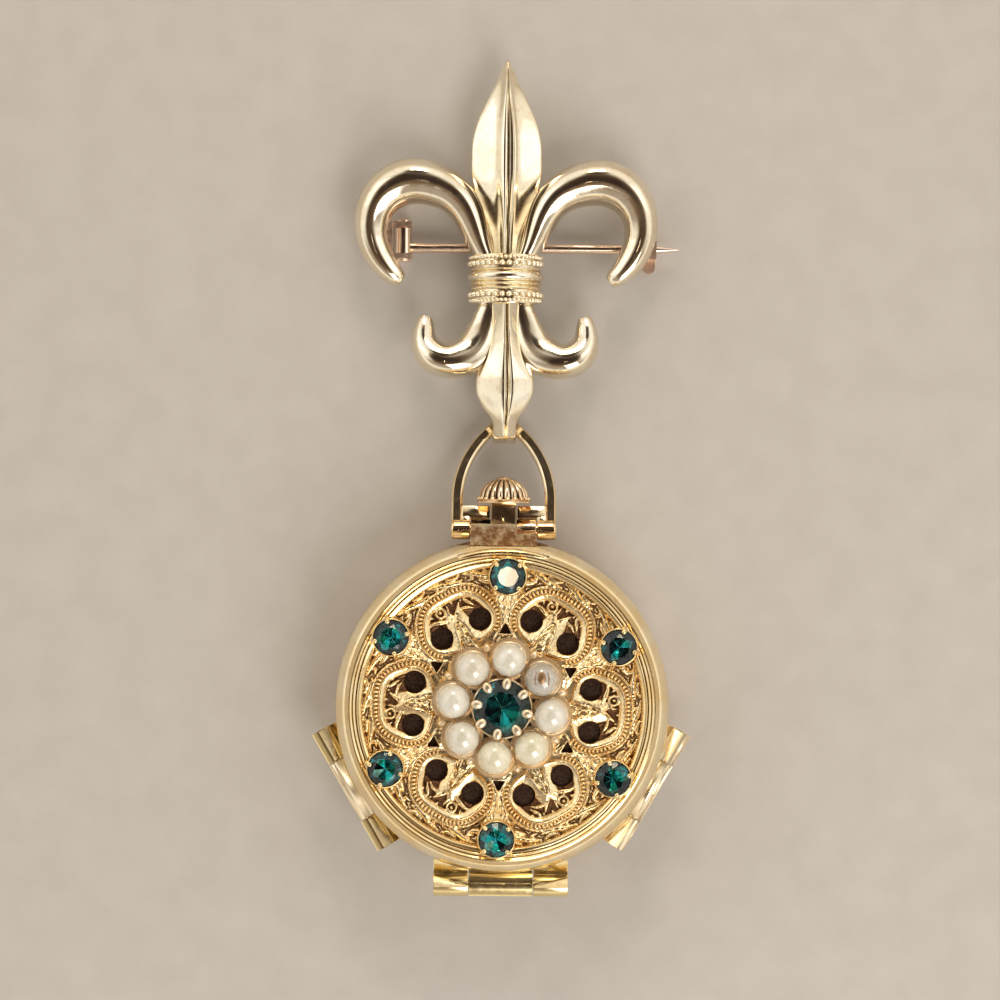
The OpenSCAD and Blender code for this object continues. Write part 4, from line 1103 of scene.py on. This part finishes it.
# The room: a dark patch overhead where the camera hangs, a bright soft tent round it, dimmer walls
world = bpy.data.worlds.new("studio")
bpy.context.scene.world = world
world.use_nodes = True
sky = world.node_tree
direction = sky.nodes.new("ShaderNodeTexCoord").outputs["Generated"]
split = add_node(sky, "ShaderNodeSeparateXYZ", {"Vector": direction})
drape = add_node(sky, "ShaderNodeTexNoise", {"Vector": direction, "Scale": 2.2, "Detail": 1.0})
uneven = combined(sky, "MULTIPLY", combined(sky, "SUBTRACT", drape.outputs["Fac"], 0.5), 0.16)
tent = ramp(sky, combined(sky, "ADD", split.outputs["Z"], uneven), [
    (0.0, (0.62, 0.54, 0.44)), (0.15, (0.82, 0.74, 0.62)), (0.3, (0.97, 0.91, 0.82)),
    (0.5, (1.0, 0.97, 0.91)), (0.72, (0.95, 0.92, 0.85)), (0.84, (0.55, 0.48, 0.4)),
    (0.9, (0.12, 0.085, 0.06)), (0.955, (0.04, 0.026, 0.02)),
])
# The near side of the room is dimmer and brown above the table
near = combined(sky, "MULTIPLY", mapped(sky, split.outputs["Y"], -0.42, -0.12, 0.75, 0.0),
                mapped(sky, split.outputs["Z"], 0.35, 0.55))
tent = mixed(sky, near, tent, (0.2, 0.13, 0.08))
# A dark flag hangs above the brooch's upper end: its tilt, its soft edge and its full core
FLAG_TILT, FLAG_EDGE, FLAG_CORE = math.radians(39), math.radians(15), math.radians(9)
facing = add_node(sky, "ShaderNodeVectorMath", {
    0: direction, 1: (0.0, math.sin(FLAG_TILT), math.cos(FLAG_TILT))}, operation="DOT_PRODUCT")
flag = mapped(sky, facing.outputs["Value"], math.cos(FLAG_EDGE), math.cos(FLAG_CORE))
tent = mixed(sky, flag, tent, (0.05, 0.04, 0.035))
set_inputs(sky, sky.nodes["Background"], {"Color": tent, "Strength": 1.05})
bpy.context.scene.view_settings.view_transform = "Standard"

floor_material, floor_tree, floor_shader, floor_place = new_material("floor_paper")
floor_tone = ramp(floor_tree, noise(floor_tree, floor_place, 0.25, 5.0),
                  [(0.3, (0.56, 0.52, 0.48)), (0.7, (0.6, 0.56, 0.52))])
set_inputs(floor_tree, floor_shader, {"Base Color": floor_tone, "Roughness": 0.85})
bumped(floor_tree, floor_shader, noise(floor_tree, floor_place, 2.0, 4.0), 0.02)
floor_mesh = bpy.data.meshes.new("floor")
TABLE_HALF, TABLE_Z = 1.5, -2e-5
floor_mesh.from_pydata([(x * TABLE_HALF, y * TABLE_HALF, TABLE_Z)
                        for x, y in ((-1, -1), (1, -1), (1, 1), (-1, 1))], [], [(0, 1, 2, 3)])
floor_mesh.materials.append(floor_material)
floor = add_object("floor", floor_mesh)
floor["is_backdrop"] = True

# Finishes of the nodes that stay as they are
for node, material in {
    "pin_joint": finding_gold, "pin_catch": finding_gold, "pin_stem": pin_steel,
    "hanging_eye": gold, "case_back": neck_gold,
    # inner_frame_2 and the cover take case_gold, whose near-black brown below a height is partly painted
    # shade in the piercings
    "inner_frame_1": frame_gold, "inner_frame_2": case_gold,
    "cover": case_gold, "hinge_pin_back": hinge_gold,
    "hinge_pin_middle": hinge_gold, "hinge_pin_cover": hinge_gold,
}.items():
    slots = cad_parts[node].data.materials
    slots.clear()
    slots.append(material)

# Softened edges of what was bent, cut or soldered
for node, width in {"case_back": 0.07, "cover": 0.07, "pin_joint": 0.06, "pin_catch": 0.06,
                    "hanging_eye": 0.08, "inner_frame_1": 0.05, "inner_frame_2": 0.05}.items():
    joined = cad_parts[node].modifiers.new("Joined", "WELD")
    joined.merge_threshold = 1e-6
    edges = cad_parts[node].modifiers.new("Edges", "BEVEL")
    edges.width = width * MM
    edges.segments = 2
    edges.limit_method = "ANGLE"
    edges.angle_limit = math.radians(40)

low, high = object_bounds()
{"cad": [list(cad_low), list(cad_high)], "visual": [list(low), list(high)]}
